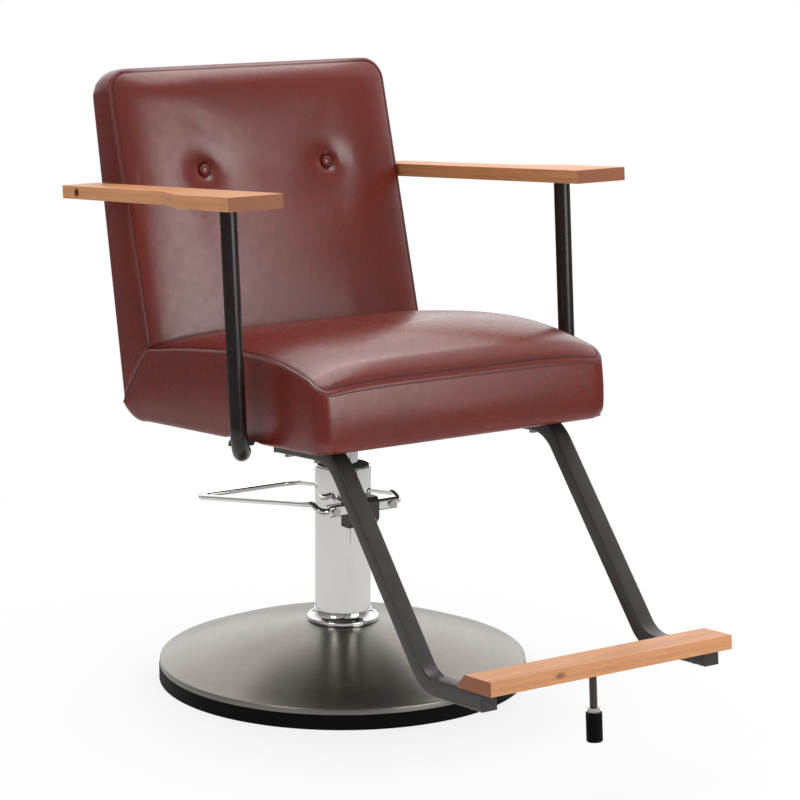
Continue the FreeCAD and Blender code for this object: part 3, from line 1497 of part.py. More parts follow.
def make_seat_cushion():
    """Crowned seat cushion with a mitred rear end and a rounded rear edge."""
    body = new_body("seat_cushion", SEAT)
    joint = S.mitre - S.mitre_gap / 2
    rear = S.seat_under + S.heel_rise - joint
    for rows, start, end in (
        (SEAT_SECTIONS, rear, S.seat_nose),
        (NOSE_SECTIONS, S.seat_nose, S.seat_front),
    ):
        sections = []
        for at, row in zip(evenly(start, end, len(rows)), rows):
            sections.append(seat_section(body, at, *row))
        loft(body, sections)
    rear_z = S.seat_under + S.heel_rise
    rear_y = joint - rear_z
    wall, over = rear_y + CLEAR, SEAT_CLEAR
    swell = chord_swell((rear_y - S.heel_depth, S.seat_under), (rear_y, rear_z))
    heel = new_sketch(body, "YZ")
    outline(heel, [
        (joint - over, over), (rear_y, rear_z, None, -swell),
        (rear_y - S.heel_depth, S.seat_under), (rear_y - S.heel_depth, -S.heel_rise),
        (wall, -S.heel_rise), (wall, over),
    ])
    feature(body, "Pocket", heel, S.seat_half * 3, "Symmetric")

    below = S.seat_under - S.clearance
    hollow = new_sketch(body, "XY", below)
    x = SEAT_BOARD_HALF + S.slip
    rectangle(hollow, -x, x, -S.board_front - S.slip, S.board_back + S.slip)
    depth = board_underside() + S.board_thick - below
    feature(body, "Pocket", hollow, depth, back=True)
    for side in (-1, 1):
        slot = new_sketch(body, "XY", below)
        half = S.strap_width / 2 + S.clearance
        x = side * S.strap_x
        start = strap_route()[1][0]
        rectangle(slot, x - half, x + half, S.board_back - 1, start + S.strap_slot)
        feature(body, "Pocket", slot, S.heel_radius, back=True)
        notch_for_post(body, side)


def chord_swell(start, end):
    """How far the seat's rear edge swells past the chord between its ends."""
    dx, dy = end[0] - start[0], end[1] - start[1]
    quarter = (dx * dx + dy * dy) / 4
    return S.heel_radius - root(S.heel_radius * S.heel_radius - quarter)


def notch_for_post(body, side):
    """Press the padded edge flat where a post's foot and flange pass under it."""
    below = S.seat_under - S.clearance
    sketch = new_sketch(body, "XY", below)
    way_x, way_y = post_way(side)
    half = S.flange_width / 2 + S.clearance * 2
    near, far = -S.post_r * 2, S.flange_end
    corners = []
    for distance, across in ((near, -half), (far, -half), (far, half), (near, half)):
        px, py = flange_point(side, distance)
        corners.append((px - way_y * across, py + way_x * across))
    outline(sketch, corners if side > 0 else corners[::-1])
    feature(body, "Pocket", sketch, S.deck_z + S.slip - below, back=True)


def make_back_cushion():
    """Crowned back cushion, thinner at the top, hollow behind for the board."""
    body = new_body("back_cushion", BACK)
    sections = []
    half = S.seat_half
    for at, crown in zip(evenly(-S.back_root, S.back_height, len(BACK_CROWNS)), BACK_CROWNS):
        front = S.back_taper * (at / S.back_height) - S.back_depth
        sketch = new_sketch(body, "XY", at)
        outline(sketch, [
            (half, ZERO), (-half, ZERO, None, S.side_swell),
            (-half, front, None, Dim.of(crown)), (half, front, None, S.side_swell),
        ])
        sections.append(sketch)
    loft(body, sections)
    round_back_top(body)
    cut_back_foot(body)
    hollow = new_sketch(body, "XZ", ZERO)
    x = BACK_BOARD_HALF + S.slip
    rectangle(hollow, -x, x, -CLEAR, BACK_CAVITY_TOP)
    feature(body, "Pocket", hollow, S.back_board_at + S.back_board_thick, back=True)
    arm_y, arm_z = arm_bolt_in_back()
    for side in (-1, 1):
        hole = new_sketch(body, "YZ", side * ARM_INNER)
        circle(hole, arm_y, arm_z, S.spacer_r + S.slip)
        feature(body, "Pocket", hole, ARM_INNER - BACK_BOARD_HALF, back=side < 0)
        tuft = new_sketch(body, "YZ", side * S.button_x)
        draw_tuft(tuft)
        made = revolve(body, tuft, "Groove", "Axis0")
        made.Label = body.Label + "_tuft"


def round_back_top(body):
    """Round the back's top corners, its top rear edge and the roll at its top front."""
    top = S.back_height
    clear = S.back_corner
    for side in (-1, 1):
        corner = new_sketch(body, "XZ", ZERO)
        radius = S.back_corner
        x = side * (S.seat_half + S.side_swell)
        outer = side * (S.seat_half + S.side_swell + clear)
        start, end = (x, top - radius), (x - side * radius, top)
        swell = side * radius * (1 - math.sqrt(0.5))
        outline(corner, [
            (*start, None, swell), end, (end[0], top + clear), (outer, top + clear),
            (outer, start[1]),
        ])
        feature(body, "Pocket", corner, S.back_depth * 4, "Symmetric")
    edge = new_sketch(body, "YZ")
    radius = S.back_top_round
    start, end = (ZERO, top - radius), (-radius, top)
    outline(edge, [
        (*start, None, radius * (1 - math.sqrt(0.5))), end, (end[0], top + clear),
        (clear, top + clear), (clear, start[1]),
    ])
    feature(body, "Pocket", edge, S.seat_half * 3, "Symmetric")
    seam = S.back_taper - S.back_depth - S.clearance
    face = seam - Dim.of(BACK_CROWNS[-2])
    roll = new_sketch(body, "YZ")
    outline(roll, [
        (face, top - S.back_roll, None, -S.back_roll_swell), (seam, top),
        (seam, top + clear), (face - clear, top + clear), (face - clear, top - S.back_roll),
    ])
    feature(body, "Pocket", roll, S.seat_half * 3, "Symmetric")


def draw_tuft(sketch):
    """Half section of the hollow round a button, and its axis."""
    axis_z = S.button_up
    floor = -(S.button_face - S.button_thick)
    mouth = -(S.button_face + S.tuft_slope)
    flat_r = S.button_r + S.clearance
    lip = -(S.button_face + S.tuft_deep)
    spread = S.tuft_slope - S.tuft_deep
    outline(sketch, [
        (floor, axis_z), (floor, axis_z + flat_r), (lip, axis_z + S.tuft_r),
        (mouth, axis_z + S.tuft_r + spread), (mouth, axis_z),
    ])
    item = sketch.addGeometry(Part.LineSegment(flat(floor, axis_z), flat(mouth, axis_z)), True)
    fix_point(sketch, item, 1, floor, axis_z)
    fix_point(sketch, item, 2, mouth, axis_z)


def cut_back_foot(body):
    """Cut the back's foot along the mitre."""
    joint = S.mitre + S.mitre_gap / 2
    outer = BACK.from_parent(SEAT, joint + S.heel_rise, -S.heel_rise)
    inner = BACK.from_parent(SEAT, joint - SEAT_CLEAR, SEAT_CLEAR)
    sketch = new_sketch(body, "YZ")
    outline(sketch, [outer, inner, (inner[0], -CLEAR), (outer[0], -CLEAR)])
    feature(body, "Pocket", sketch, S.seat_half * 3, "Symmetric")


def make_buttons():
    """Two covered buttons on the floor of their tufts."""
    body = new_body("back_buttons", BACK)
    floor = S.button_face - S.button_thick
    for side in (-1, 1):
        disc = new_sketch(body, "XZ", floor)
        circle(disc, side * S.button_x, S.button_up, S.button_r)
        feature(body, "Pad", disc, S.button_thick)
    face = -S.button_face.value
    rim = lambda edge: abs(edge.CenterOfMass.y - face) < 0.01
    chamfer_edges(body, rim, S.button_edge)


def check_and_write():
    """Check every object and every node's shape, then write one file per node."""
    DOC.recompute()
    for thing in DOC.Objects:
        if "Invalid" in thing.State or "Error" in thing.State:
            raise RuntimeError(f"{thing.Label}: {thing.State}")
    total = 0
    for node in NODES:
        if node.Shape.isNull() or not node.Shape.isValid():
            raise RuntimeError(f"{node.Label}: bad shape")
        count = len(node.Shape.Solids)
        total += count
        print(f"{node.Label}: {count} solid, {node.Shape.Volume / 1000:.1f} cm3")
    print(f"{len(NODES)} nodes, {total} solids")
    os.makedirs("parts", exist_ok=True)
    for node in NODES:
        node.Shape.exportStep(f"parts/{node.Label}.step")


make_base()
make_column()
make_ram()
make_bracket()
make_lever()
make_plunger()
make_hub()
make_straps()
make_legs()
make_footrest()
make_arm(-1, "arm_right")
make_arm(1, "arm_left")
make_arm_fixings()
make_post(-1, "right")
make_post(1, "left")
make_post_fixings()
make_boards()
make_seat_cushion()
make_back_cushion()
make_buttons()
check_and_write()
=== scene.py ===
"""Looks of a hydraulic salon chair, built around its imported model.

Lengths are metres in the model's own frame: the chair faces -Y, the sitter's right side is -X and
the floor is at Z = 0. Everything above the swivel is drawn square in a raked seat frame and turned
into place.
"""

import logging
import math
from collections.abc import Callable, Iterable, Sequence
from dataclasses import dataclass, field
from enum import Enum
from itertools import product

import bmesh
import bpy
from mathutils import Matrix, Vector


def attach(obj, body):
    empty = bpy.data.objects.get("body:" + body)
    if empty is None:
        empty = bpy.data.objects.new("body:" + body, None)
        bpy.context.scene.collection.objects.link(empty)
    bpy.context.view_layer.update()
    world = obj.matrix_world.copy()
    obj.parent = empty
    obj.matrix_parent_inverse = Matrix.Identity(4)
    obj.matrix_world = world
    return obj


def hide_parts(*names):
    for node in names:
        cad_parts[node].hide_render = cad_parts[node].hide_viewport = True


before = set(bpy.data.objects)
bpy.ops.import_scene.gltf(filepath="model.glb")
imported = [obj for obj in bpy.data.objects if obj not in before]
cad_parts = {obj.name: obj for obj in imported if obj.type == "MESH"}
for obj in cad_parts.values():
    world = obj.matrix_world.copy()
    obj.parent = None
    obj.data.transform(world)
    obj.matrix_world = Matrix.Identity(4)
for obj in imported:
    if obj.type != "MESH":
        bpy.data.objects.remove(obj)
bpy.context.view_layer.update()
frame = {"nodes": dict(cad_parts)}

LOG = logging.getLogger("salon_chair")
Triple = tuple[float, float, float]
Pair = tuple[float, float]
Key = tuple[int, int, int]
Piece = bpy.types.Object
Socket = bpy.types.NodeSocket


# Frames that the sub-assemblies are drawn in


@dataclass(frozen=True)
class TiltedFrame:
    """A frame turned back about the cross axis.

    Attributes:
        y: Origin behind the column's axis.
        z: Origin above the floor.
        tilt: Degrees that the frame leans back.
    """

    y: float
    z: float
    tilt: float

    def world(self, point: Vector) -> Vector:
        """Carry a point of this frame into the model's frame.

        Args:
            point: A point in this frame.

        Returns:
            The same point in the model's frame.
        """
        cosine = math.cos(math.radians(self.tilt))
        sine = math.sin(math.radians(self.tilt))
        return Vector((
            point.x,
            self.y + point.y * cosine + point.z * sine,
            self.z - point.y * sine + point.z * cosine,
        ))

    def inside(self, y: float, z: float, tilt: float) -> "TiltedFrame":
        """Make a frame at a point of this one, leaned by a further tilt.

        Args:
            y: Origin of the new frame, in this one.
            z: Origin of the new frame, in this one.
            tilt: Further lean in degrees.

        Returns:
            The new frame, given in the model's frame.
        """
        origin = self.world(Vector((0, y, z)))
        return TiltedFrame(origin.y, origin.z, self.tilt + tilt)


SEAT = TiltedFrame(0, 0.3846, 4.5)
BACK = SEAT.inside(0.2298, 0.025, 6.4)


# Node helpers and shared surface effects


class Graph:
    """Adds and links the nodes of one tree."""

    def __init__(self, tree: bpy.types.NodeTree) -> None:
        """Keep the tree that nodes are added to."""
        self.tree = tree

    def put(self, socket: Socket, value: object) -> None:
        """Feed a socket.

        Args:
            socket: An input.
            value: Its value, or the socket that feeds it.
        """
        if isinstance(value, Socket):
            self.tree.links.new(value, socket)
        else:
            socket.default_value = value

    def feed(self, node: bpy.types.Node, inputs: dict) -> None:
        """Feed a node's inputs.

        Args:
            node: The node.
            inputs: Socket name or number to a value, or to the socket that feeds it.
        """
        for name, value in inputs.items():
            self.put(node.inputs[name], value)

    def add(self, kind: str, inputs: dict | None = None, **settings: object) -> bpy.types.Node:
        """Add a node, set it up and feed its inputs.

        Args:
            kind: The node's type name.
            inputs: What feed() takes.
            **settings: Properties of the node itself.

        Returns:
            The new node.
        """
        node = self.tree.nodes.new(kind)
        for name, value in settings.items():
            setattr(node, name, value)
        self.feed(node, inputs or {})
        return node

    def math(self, operation: str, *values: object) -> Socket:
        """The result of a Math node, given one number or socket for each input."""
        inputs = dict(enumerate(values))
        return self.add("ShaderNodeMath", inputs, operation=operation).outputs[0]

    def times(self, first: object, second: object) -> Socket:
        """The product of two numbers or sockets."""
        return self.math("MULTIPLY", first, second)

    def plus(self, first: object, second: object) -> Socket:
        """The sum of two numbers or sockets."""
        return self.math("ADD", first, second)

    def vector(self, operation: str, first: object, second: object = None,
               output: str = "Vector") -> Socket:
        """The result of a Vector Math node.

        Args:
            operation: The operation's name.
            first: First vector or socket.
            second: Second one, the factor of SCALE, or None.
            output: Name of the output.

        Returns:
            The output.
        """
        inputs = {0: first}
        if second is not None:
            inputs["Scale" if operation == "SCALE" else 1] = second
        node = self.add("ShaderNodeVectorMath", inputs, operation=operation)
        return node.outputs[output]

    def parts(self, vector: Socket) -> dict[str, Socket]:
        """The X, Y and Z of a vector by name."""
        outputs = self.add("ShaderNodeSeparateXYZ", {0: vector}).outputs
        return {name: outputs[name] for name in "XYZ"}

    def laid(self, vector: Socket, **settings: Triple) -> Socket:
        """A vector after a Mapping node, given its Location, Rotation or Scale."""
        return self.add("ShaderNodeMapping", {"Vector": vector, **settings}).outputs[0]

    def noise(self, vector: Socket, scale: object, detail: float = 3, rough: float = 0.5,
              output: str = "Fac") -> Socket:
        """Add a noise texture.

        Args:
            vector: The place that the noise is read at.
            scale: Cells to the metre.
            detail: Octaves of finer noise.
            rough: How strong the finer octaves are.
            output: Name of the output.

        Returns:
            The output.
        """
        inputs = {"Vector": vector, "Scale": scale, "Detail": detail, "Roughness": rough}
        return self.add("ShaderNodeTexNoise", inputs).outputs[output]

    def net(self, vector: Socket, scale: object) -> Socket:
        """Distance from the edges of a net of cells, given the cells to the metre."""
        inputs = {"Vector": vector, "Scale": scale}
        cells = self.add("ShaderNodeTexVoronoi", inputs, feature="DISTANCE_TO_EDGE")
        return cells.outputs["Distance"]

    def spread(self, value: Socket, low: float, high: float, to_low: float = 0,
               to_high: float = 1) -> Socket:
        """Add a Map Range node that clamps.

        Args:
            value: The socket to map.
            low: Value that becomes to_low.
            high: Value that becomes to_high.
            to_low: Lower end of the result.
            to_high: Upper end of the result.

        Returns:
            The mapped value.
        """
        inputs = {"Value": value, "From Min": low, "From Max": high, "To Min": to_low,
                  "To Max": to_high}
        return self.add("ShaderNodeMapRange", inputs).outputs["Result"]

    def mix(self, factor: Socket, first: object, second: object) -> Socket:
        """Mix two colours.

        Args:
            factor: Share of the second colour.
            first: A colour or a socket.
            second: A colour or a socket.

        Returns:
            The mixed colour.
        """
        node = self.add("ShaderNodeMix", {0: factor}, data_type="RGBA")
        for number, value in ((6, first), (7, second)):
            self.put(node.inputs[number], (*value, 1) if isinstance(value, tuple) else value)
        return node.outputs[2]

    def choose(self, factor: Socket, first: object, second: object) -> Socket:
        """Mix two numbers. The factor is the share of the second."""
        inputs = {0: factor, 2: first, 3: second}
        return self.add("ShaderNodeMix", inputs, data_type="FLOAT").outputs[0]

    def bump(self, height: Socket, depth: float, strength: float) -> Socket:
        """Turn a height into a normal.

        Args:
            height: Height from 0 to 1.
            depth: What a height of 1 measures.
            strength: Share of the bump that shows.

        Returns:
            The normal.
        """
        inputs = {"Height": height, "Distance": depth, "Strength": strength}
        return self.add("ShaderNodeBump", inputs).outputs[0]


class SurfaceGroup:
    """A shader node group with named inputs and outputs, built once."""

    name = "surface_group"
    inputs: dict[str, object] = {}
    outputs: tuple[str, ...] = ()

    @classmethod
    def tree(cls) -> bpy.types.NodeTree:
        """The group's tree, made at the first call. Its inputs start with the place."""
        found = bpy.data.node_groups.get(cls.name)
        if found:
            return found
        tree = bpy.data.node_groups.new(cls.name, "ShaderNodeTree")
        tree.interface.new_socket("Vector", in_out="INPUT", socket_type="NodeSocketVector")
        for name, value in cls.inputs.items():
            kind = "NodeSocketVector" if isinstance(value, tuple) else "NodeSocketFloat"
            socket = tree.interface.new_socket(name, in_out="INPUT", socket_type=kind)
            socket.default_value = value
        for name in cls.outputs:
            tree.interface.new_socket(name, in_out="OUTPUT", socket_type="NodeSocketFloat")
        graph = Graph(tree)
        drawn = cls.draw(graph, graph.add("NodeGroupInput").outputs)
        graph.add("NodeGroupOutput", drawn)
        return tree

    @classmethod
    def draw(cls, graph: Graph, given: bpy.types.NodeOutputs) -> dict[str, Socket]:
        """Draw the group's nodes.

        Args:
            graph: The group's own graph.
            given: The group's inputs.

        Returns:
            Output name to the socket that feeds it.
        """
        raise NotImplementedError

    @classmethod
    def place(cls, graph: Graph, **values: object) -> bpy.types.NodeOutputs:
        """Place the group in a material.

        Args:
            graph: The material's graph.
            **values: Input name to a value or socket.

        Returns:
            The group's outputs in that material.
        """
        return graph.add("ShaderNodeGroup", values, node_tree=cls.tree()).outputs


class HideGrain(SurfaceGroup):
    """Pebbled leather with fine creases and a slow change of tone."""

    name = "hide_grain"
    inputs = {"Pebbles": 620.0, "Creases": 62.0}
    outputs = ("Height", "Crease", "Tone")

    @classmethod
    def draw(cls, graph: Graph, given: bpy.types.NodeOutputs) -> dict[str, Socket]:
        """Draw pebbles, creases and tone. See SurfaceGroup.draw."""
        place = given["Vector"]
        warp = graph.noise(place, 45, output="Color")
        bent = graph.vector("ADD", place, graph.vector("SCALE", warp, 0.030))
        vein = graph.spread(graph.net(bent, given["Creases"]), 0.0, 0.055, 1, 0)
        crease = graph.times(vein, graph.spread(graph.noise(place, 17), 0.38, 0.66))
        pebble = graph.spread(graph.net(place, given["Pebbles"]), 0.0, 0.25)
        fine = graph.noise(place, 1500, 2)
        grain = graph.plus(graph.times(pebble, 0.5), graph.times(fine, 0.35))
        mottle = graph.times(graph.noise(place, 120, 3, 0.55), 2.4)
        height = graph.math("SUBTRACT", graph.plus(grain, mottle), graph.times(crease, 0.8))
        slow = graph.noise(place, 7, 4, 0.6)
        quick = graph.noise(place, 75, 4, 0.6)
        tone = graph.plus(graph.times(slow, 0.4), graph.times(quick, 0.6))
        return {"Height": height, "Crease": crease, "Tone": graph.spread(tone, 0.35, 0.65)}


class TimberGrain(SurfaceGroup):
    """Growth rings, streaks and pores that run along local X."""

    name = "timber_grain"
    inputs = {"Rings": 95.0, "Wander": 0.010}
    outputs = ("Ring", "Streak", "Pore", "Patch")

    @classmethod
    def draw(cls, graph: Graph, given: bpy.types.NodeOutputs) -> dict[str, Socket]:
        """Draw rings, streaks and pores. See SurfaceGroup.draw."""
        place = given["Vector"]
        long = graph.laid(place, Scale=(0.10, 1, 1))
        wave = graph.noise(long, 9, 2, output="Color")
        bent = graph.vector("ADD", long, graph.vector("SCALE", wave, given["Wander"]))
        parts = graph.parts(bent)
        away, across = graph.plus(parts["Z"], 0.19), graph.plus(parts["Y"], 0.07)
        squares = graph.plus(graph.times(away, away), graph.times(across, across))
        saw = graph.math("FRACT", graph.times(graph.math("SQRT", squares), given["Rings"]))
        pits = graph.noise(graph.laid(place, Scale=(0.07, 1, 1)), 1700, 1, 0.4)
        return {
            "Ring": graph.math("POWER", saw, 2.4),
            "Streak": graph.noise(graph.laid(bent, Scale=(0.35, 1, 1)), 420, 3, 0.65),
            "Pore": graph.spread(pits, 0.64, 0.72),
            "Patch": graph.noise(long, 22, 3, 0.55),
        }


class HandledMetal(SurfaceGroup):
    """Fine grinding lines, soft smudges and small scratches."""

    name = "handled_metal"
    inputs = {"Lines": 900.0, "Stretch": (1.0, 1.0, 1.0)}
    outputs = ("Height", "Smudge", "Scratch")

    @classmethod
    def draw(cls, graph: Graph, given: bpy.types.NodeOutputs) -> dict[str, Socket]:
        """Draw lines, smudges and scratches. See SurfaceGroup.draw."""
        place = given["Vector"]
        drawn = graph.vector("MULTIPLY", place, given["Stretch"])
        cracks = graph.net(graph.noise(place, 60, 1, output="Color"), 24)
        rare = graph.spread(graph.noise(place, 33, 1), 0.70, 0.76)
        return {
            "Height": graph.noise(drawn, given["Lines"]),
            "Smudge": graph.spread(graph.noise(place, 14, 5, 0.62), 0.38, 0.66),
            "Scratch": graph.times(graph.spread(cracks, 0.0, 0.006, 1, 0), rare),
        }


class CastTexture(SurfaceGroup):
    """The sandy skin of castings, moulded rubber, paint and plastic."""

    name = "cast_texture"
    inputs = {"Grain": 900.0}
    outputs = ("Height", "Dust")

    @classmethod
    def draw(cls, graph: Graph, given: bpy.types.NodeOutputs) -> dict[str, Socket]:
        """Draw the skin and the dust in it. See SurfaceGroup.draw."""
        place = given["Vector"]
        return {
            "Height": graph.noise(place, given["Grain"], 3, 0.6),
            "Dust": graph.spread(graph.noise(place, 30, 5, 0.65), 0.42, 0.72),
        }


# Finishes


@dataclass(frozen=True)
class Finish:
    """A surface finish that becomes one material.

    Attributes:
        name: The material's name.
        colour: Main colour, linear.
        roughness: Mean roughness.
    """

    name: str
    colour: Triple
    roughness: float

    def material(self) -> bpy.types.Material:
        """The finish's material, made at the first call."""
        found = bpy.data.materials.get(self.name)
        if found:
            return found
        graph = new_graph(self.name)
        shader = graph.add("ShaderNodeBsdfPrincipled",
                           {"Base Color": (*self.colour, 1), "Roughness": self.roughness})
        graph.add("ShaderNodeOutputMaterial", {"Surface": shader.outputs[0]})
        place = graph.add("ShaderNodeTexCoord").outputs["Object"]
        made = bpy.data.materials[self.name]
        made.diffuse_color = (*self.colour, 1)
        graph.feed(shader, self.paint(graph, place))
        return made

    def paint(self, graph: Graph, place: Socket) -> dict[str, object]:
        """Draw the finish's own nodes.

        Args:
            graph: The material's graph.
            place: Object coordinates.

        Returns:
            Input name of the Principled shader to its value or socket.
        """
        raise NotImplementedError

    def tint(self, factor: float) -> Triple:
        """The finish's colour with each channel multiplied by a factor."""
        return tuple(min(1.0, channel * factor) for channel in self.colour)


def new_graph(name: str) -> Graph:
    """Make a material and give the graph of its empty tree."""
    made = bpy.data.materials.new(name)
    made.use_nodes = True
    made.node_tree.nodes.clear()
    return Graph(made.node_tree)


@dataclass(frozen=True)
class Leather(Finish):
    """Satin upholstery leather.

    Attributes:
        pebbles: Grain cells to the metre.
        depth: Depth of the grain.
    """

    pebbles: float = 620.0
    depth: float = 0.00011

    def paint(self, graph: Graph, place: Socket) -> dict[str, object]:
        """Draw grain, creases, worn tone and painted shade at seams and buttons. See Finish.paint.
        """
        hide = HideGrain.place(graph, Vector=place, Pebbles=self.pebbles)
        toned = graph.mix(hide["Tone"], self.tint(0.86), self.tint(1.14))
        creased = graph.mix(graph.times(hide["Crease"], 0.35), toned, self.tint(0.45))
        # Painted shade: the seam attribute darkens the leather in seam valleys, stitch lines, the
        # joint and the gaps round the buttons.
        seam = graph.add("ShaderNodeAttribute", attribute_name=SEAM_SHADE).outputs["Fac"]
        rough = graph.spread(hide["Tone"], 0, 1, self.roughness + 0.05, self.roughness - 0.04)
        return {
            "Base Color": graph.mix(graph.times(seam, 0.85), creased, self.tint(0.20)),
            "Roughness": graph.plus(rough, graph.times(seam, 0.2)),
            "Specular IOR Level": 0.66,
            "Coat Weight": 0.14,
            "Coat Roughness": 0.16,
            "Normal": graph.bump(hide["Height"], self.depth, 0.4),
        }


@dataclass(frozen=True)
class Timber(Finish):
    """Oiled hardwood.

    Attributes:
        turn: Turn about the cross, long and upright axes that lays the grain along the piece.
        start: Place of the grain's origin.
        dark: Colour of the late wood, linear.
        end_grain_and_shade: Colour where the fibres are cut across, linear: real end grain darkened
            further by painted shade.
        knot: Centre of a small knot, or None.
    """

    turn: Triple = (0.0, 0.0, 0.0)
    start: Triple = (0.0, 0.0, 0.0)
    dark: Triple = (0.44, 0.165, 0.068)
    end_grain_and_shade: Triple = (0.25, 0.082, 0.040)
    knot: Triple | None = None

    def paint(self, graph: Graph, place: Socket) -> dict[str, object]:
        """Draw rings, fibres, pores and the darker end grain, partly painted shade. See
        Finish.paint.
        """
        laid = graph.laid(place, Location=self.start, Rotation=self.turn)
        grain = TimberGrain.place(graph, Vector=laid)
        streak, pore = grain["Streak"], grain["Pore"]
        wood = graph.mix(graph.times(grain["Ring"], 0.50), self.colour, self.dark)
        wood = graph.mix(graph.spread(streak, 0.35, 0.7, 0, 0.45), wood, self.dark)
        wood = graph.mix(graph.spread(grain["Patch"], 0.35, 0.7, 0, 0.42), wood, self.tint(1.25))
        if self.knot:
            near = graph.vector("SUBTRACT", place, self.knot)
            away = graph.vector("LENGTH", graph.laid(near, Scale=(0.55, 1, 1)), output="Value")
            ragged = graph.plus(away, graph.times(streak, 0.003))
            wood = graph.mix(graph.spread(ragged, 0.0035, 0.0075, 0.8, 0), wood, self.tint(0.30))
        wood = graph.mix(graph.times(pore, 0.45), wood, self.tint(0.28))
        normal = graph.add("ShaderNodeTexCoord").outputs["Normal"]
        facing = graph.add("ShaderNodeMapping", {"Vector": normal, "Rotation": self.turn},
                           vector_type="VECTOR")
        along = graph.math("ABSOLUTE", graph.parts(facing.outputs[0])["X"])
        relief = graph.math("SUBTRACT", graph.times(streak, 0.4), pore)
        return {
            # End faces take a darker colour: partly real end grain, partly painted shade.
            "Base Color": graph.mix(graph.spread(along, 0.6, 0.95, 0, 0.85), wood, self.end_grain_and_shade),
            "Roughness": graph.spread(streak, 0.3, 0.7, self.roughness - 0.06,
                                      self.roughness + 0.08),
            "Specular IOR Level": 0.3,
            "Normal": graph.bump(relief, 0.00012, 0.6),
        }


@dataclass(frozen=True)
class Plies(Finish):
    """Birch plywood with its glue lines.

    Attributes:
        tilt: Degrees that the board leans back.
        stack: Axis of the board that the plies are stacked along.
    """

    tilt: float = 4.5
    stack: str = "Z"

    def paint(self, graph: Graph, place: Socket) -> dict[str, object]:
        """Draw plies, fibres and pores. See Finish.paint."""
        laid = graph.laid(place, Rotation=(math.radians(self.tilt), 0, 0))
        streak = TimberGrain.place(graph, Vector=laid, Rings=22.0)["Streak"]
        layer = graph.math("FRACT", graph.times(graph.parts(laid)[self.stack], 560))
        glue = graph.times(graph.spread(layer, 0.86, 0.93), 0.35)
        tone = graph.mix(graph.spread(streak, 0.3, 0.7, 0, 0.6), self.colour, self.tint(0.72))
        return {"Base Color": graph.mix(glue, tone, self.tint(0.35)),
                "Normal": graph.bump(streak, 0.00015, 0.5)}


@dataclass(frozen=True)
class Metal(Finish):
    """Bare or plated metal.

    Attributes:
        lines: Grinding lines to the metre.
        stretch: Share of the lines' scale along X, Y and Z.
        depth: Depth of the lines.
        smudge: How far handling changes the roughness.
    """

    lines: float = 900.0
    stretch: Triple = (1.0, 1.0, 1.0)
    depth: float = 0.000004
    smudge: float = 0.04

    def paint(self, graph: Graph, place: Socket) -> dict[str, object]:
        """Draw lines, smudges and scratches. See Finish.paint."""
        marks = HandledMetal.place(graph, Vector=place, Lines=self.lines, Stretch=self.stretch)
        smudge = marks["Smudge"]
        toned = graph.mix(graph.times(smudge, 0.25), self.colour, self.tint(0.86))
        return {
            "Base Color": graph.mix(graph.times(marks["Scratch"], 0.08), toned, self.tint(0.6)),
            "Roughness": graph.spread(smudge, 0, 1, self.roughness, self.roughness + self.smudge),
            "Metallic": 1,
            "Normal": graph.bump(marks["Height"], self.depth, 0.5),
        }


@dataclass(frozen=True)
class SpunSteel(Finish):
    """Steel brushed in circles round the column.

    Attributes:
        rings: Brush lines to the metre of radius.
        pull: How far the brushing spreads highlights across the lines.
    """

    rings: float = 1400.0
    pull: float = 0.72

    def paint(self, graph: Graph, place: Socket) -> dict[str, object]:
        """Draw circular brush lines. See Finish.paint."""
        x, y, z = graph.parts(place).values()
        radius = graph.math("SQRT", graph.plus(graph.times(x, x), graph.times(y, y)))
        angle = graph.math("ARCTAN2", y, x)
        polar = graph.add("ShaderNodeCombineXYZ", {
            "X": graph.times(radius, self.rings), "Y": graph.times(angle, 5),
            "Z": graph.times(z, 400)})
        broad = graph.add("ShaderNodeCombineXYZ", {
            "X": graph.times(radius, 160), "Y": graph.times(angle, 0.7)})
        fine = graph.noise(polar.outputs[0], 1.0, 3, 0.6)
        band = graph.spread(graph.noise(broad.outputs[0], 1.0, 3, 0.6), 0.35, 0.65)
        smudge = HandledMetal.place(graph, Vector=place)["Smudge"]
        toned = graph.mix(band, self.tint(0.96), self.tint(1.03))
        rough = graph.spread(fine, 0.3, 0.7, self.roughness - 0.04, self.roughness + 0.06)
        tangent = graph.add("ShaderNodeTangent", direction_type="RADIAL", axis="Z")
        return {
            "Base Color": graph.mix(graph.times(smudge, 0.15), toned, self.tint(0.9)),
            "Roughness": graph.plus(rough, graph.times(smudge, 0.03)),
            "Metallic": 1,
            "Anisotropic": self.pull,
            "Anisotropic Rotation": 0.25,
            "Tangent": tangent.outputs[0],
            "Normal": graph.bump(fine, 0.000012, 0.5),
        }


@dataclass(frozen=True)
class Coated(Finish):
    """Paint, rubber, plastic, cast iron or cloth: a grained skin with dust in it.

    Attributes:
        grain: Cells of the skin to the metre.
        depth: Depth of the skin.
        dust: How strongly dust lightens the colour.
        metallic: Share of metal in the coat's look.
        coat: Clear coat on top.
        gloss: Strength of the plain shine.
    """

    grain: float = 900.0
    depth: float = 0.00006
    dust: float = 0.25
    metallic: float = 0.0
    coat: float = 0.0
    gloss: float = 0.5

    def paint(self, graph: Graph, place: Socket) -> dict[str, object]:
        """Draw the skin and its dust. See Finish.paint."""
        skin = CastTexture.place(graph, Vector=place, Grain=self.grain)
        height, dust = skin["Height"], skin["Dust"]
        speck = graph.mix(graph.spread(height, 0.3, 0.7), self.tint(0.82), self.tint(1.16))
        pale = tuple(min(1.0, channel + 0.03) for channel in self.tint(1.5))
        return {
            "Base Color": graph.mix(graph.times(dust, self.dust), speck, pale),
            "Roughness": graph.spread(dust, 0, 1, self.roughness - 0.03, self.roughness + 0.08),
            "Metallic": self.metallic,
            "Specular IOR Level": self.gloss,
            "Coat Weight": self.coat,
            "Coat Roughness": 0.12,
            "Normal": graph.bump(height, self.depth, 0.5),
        }
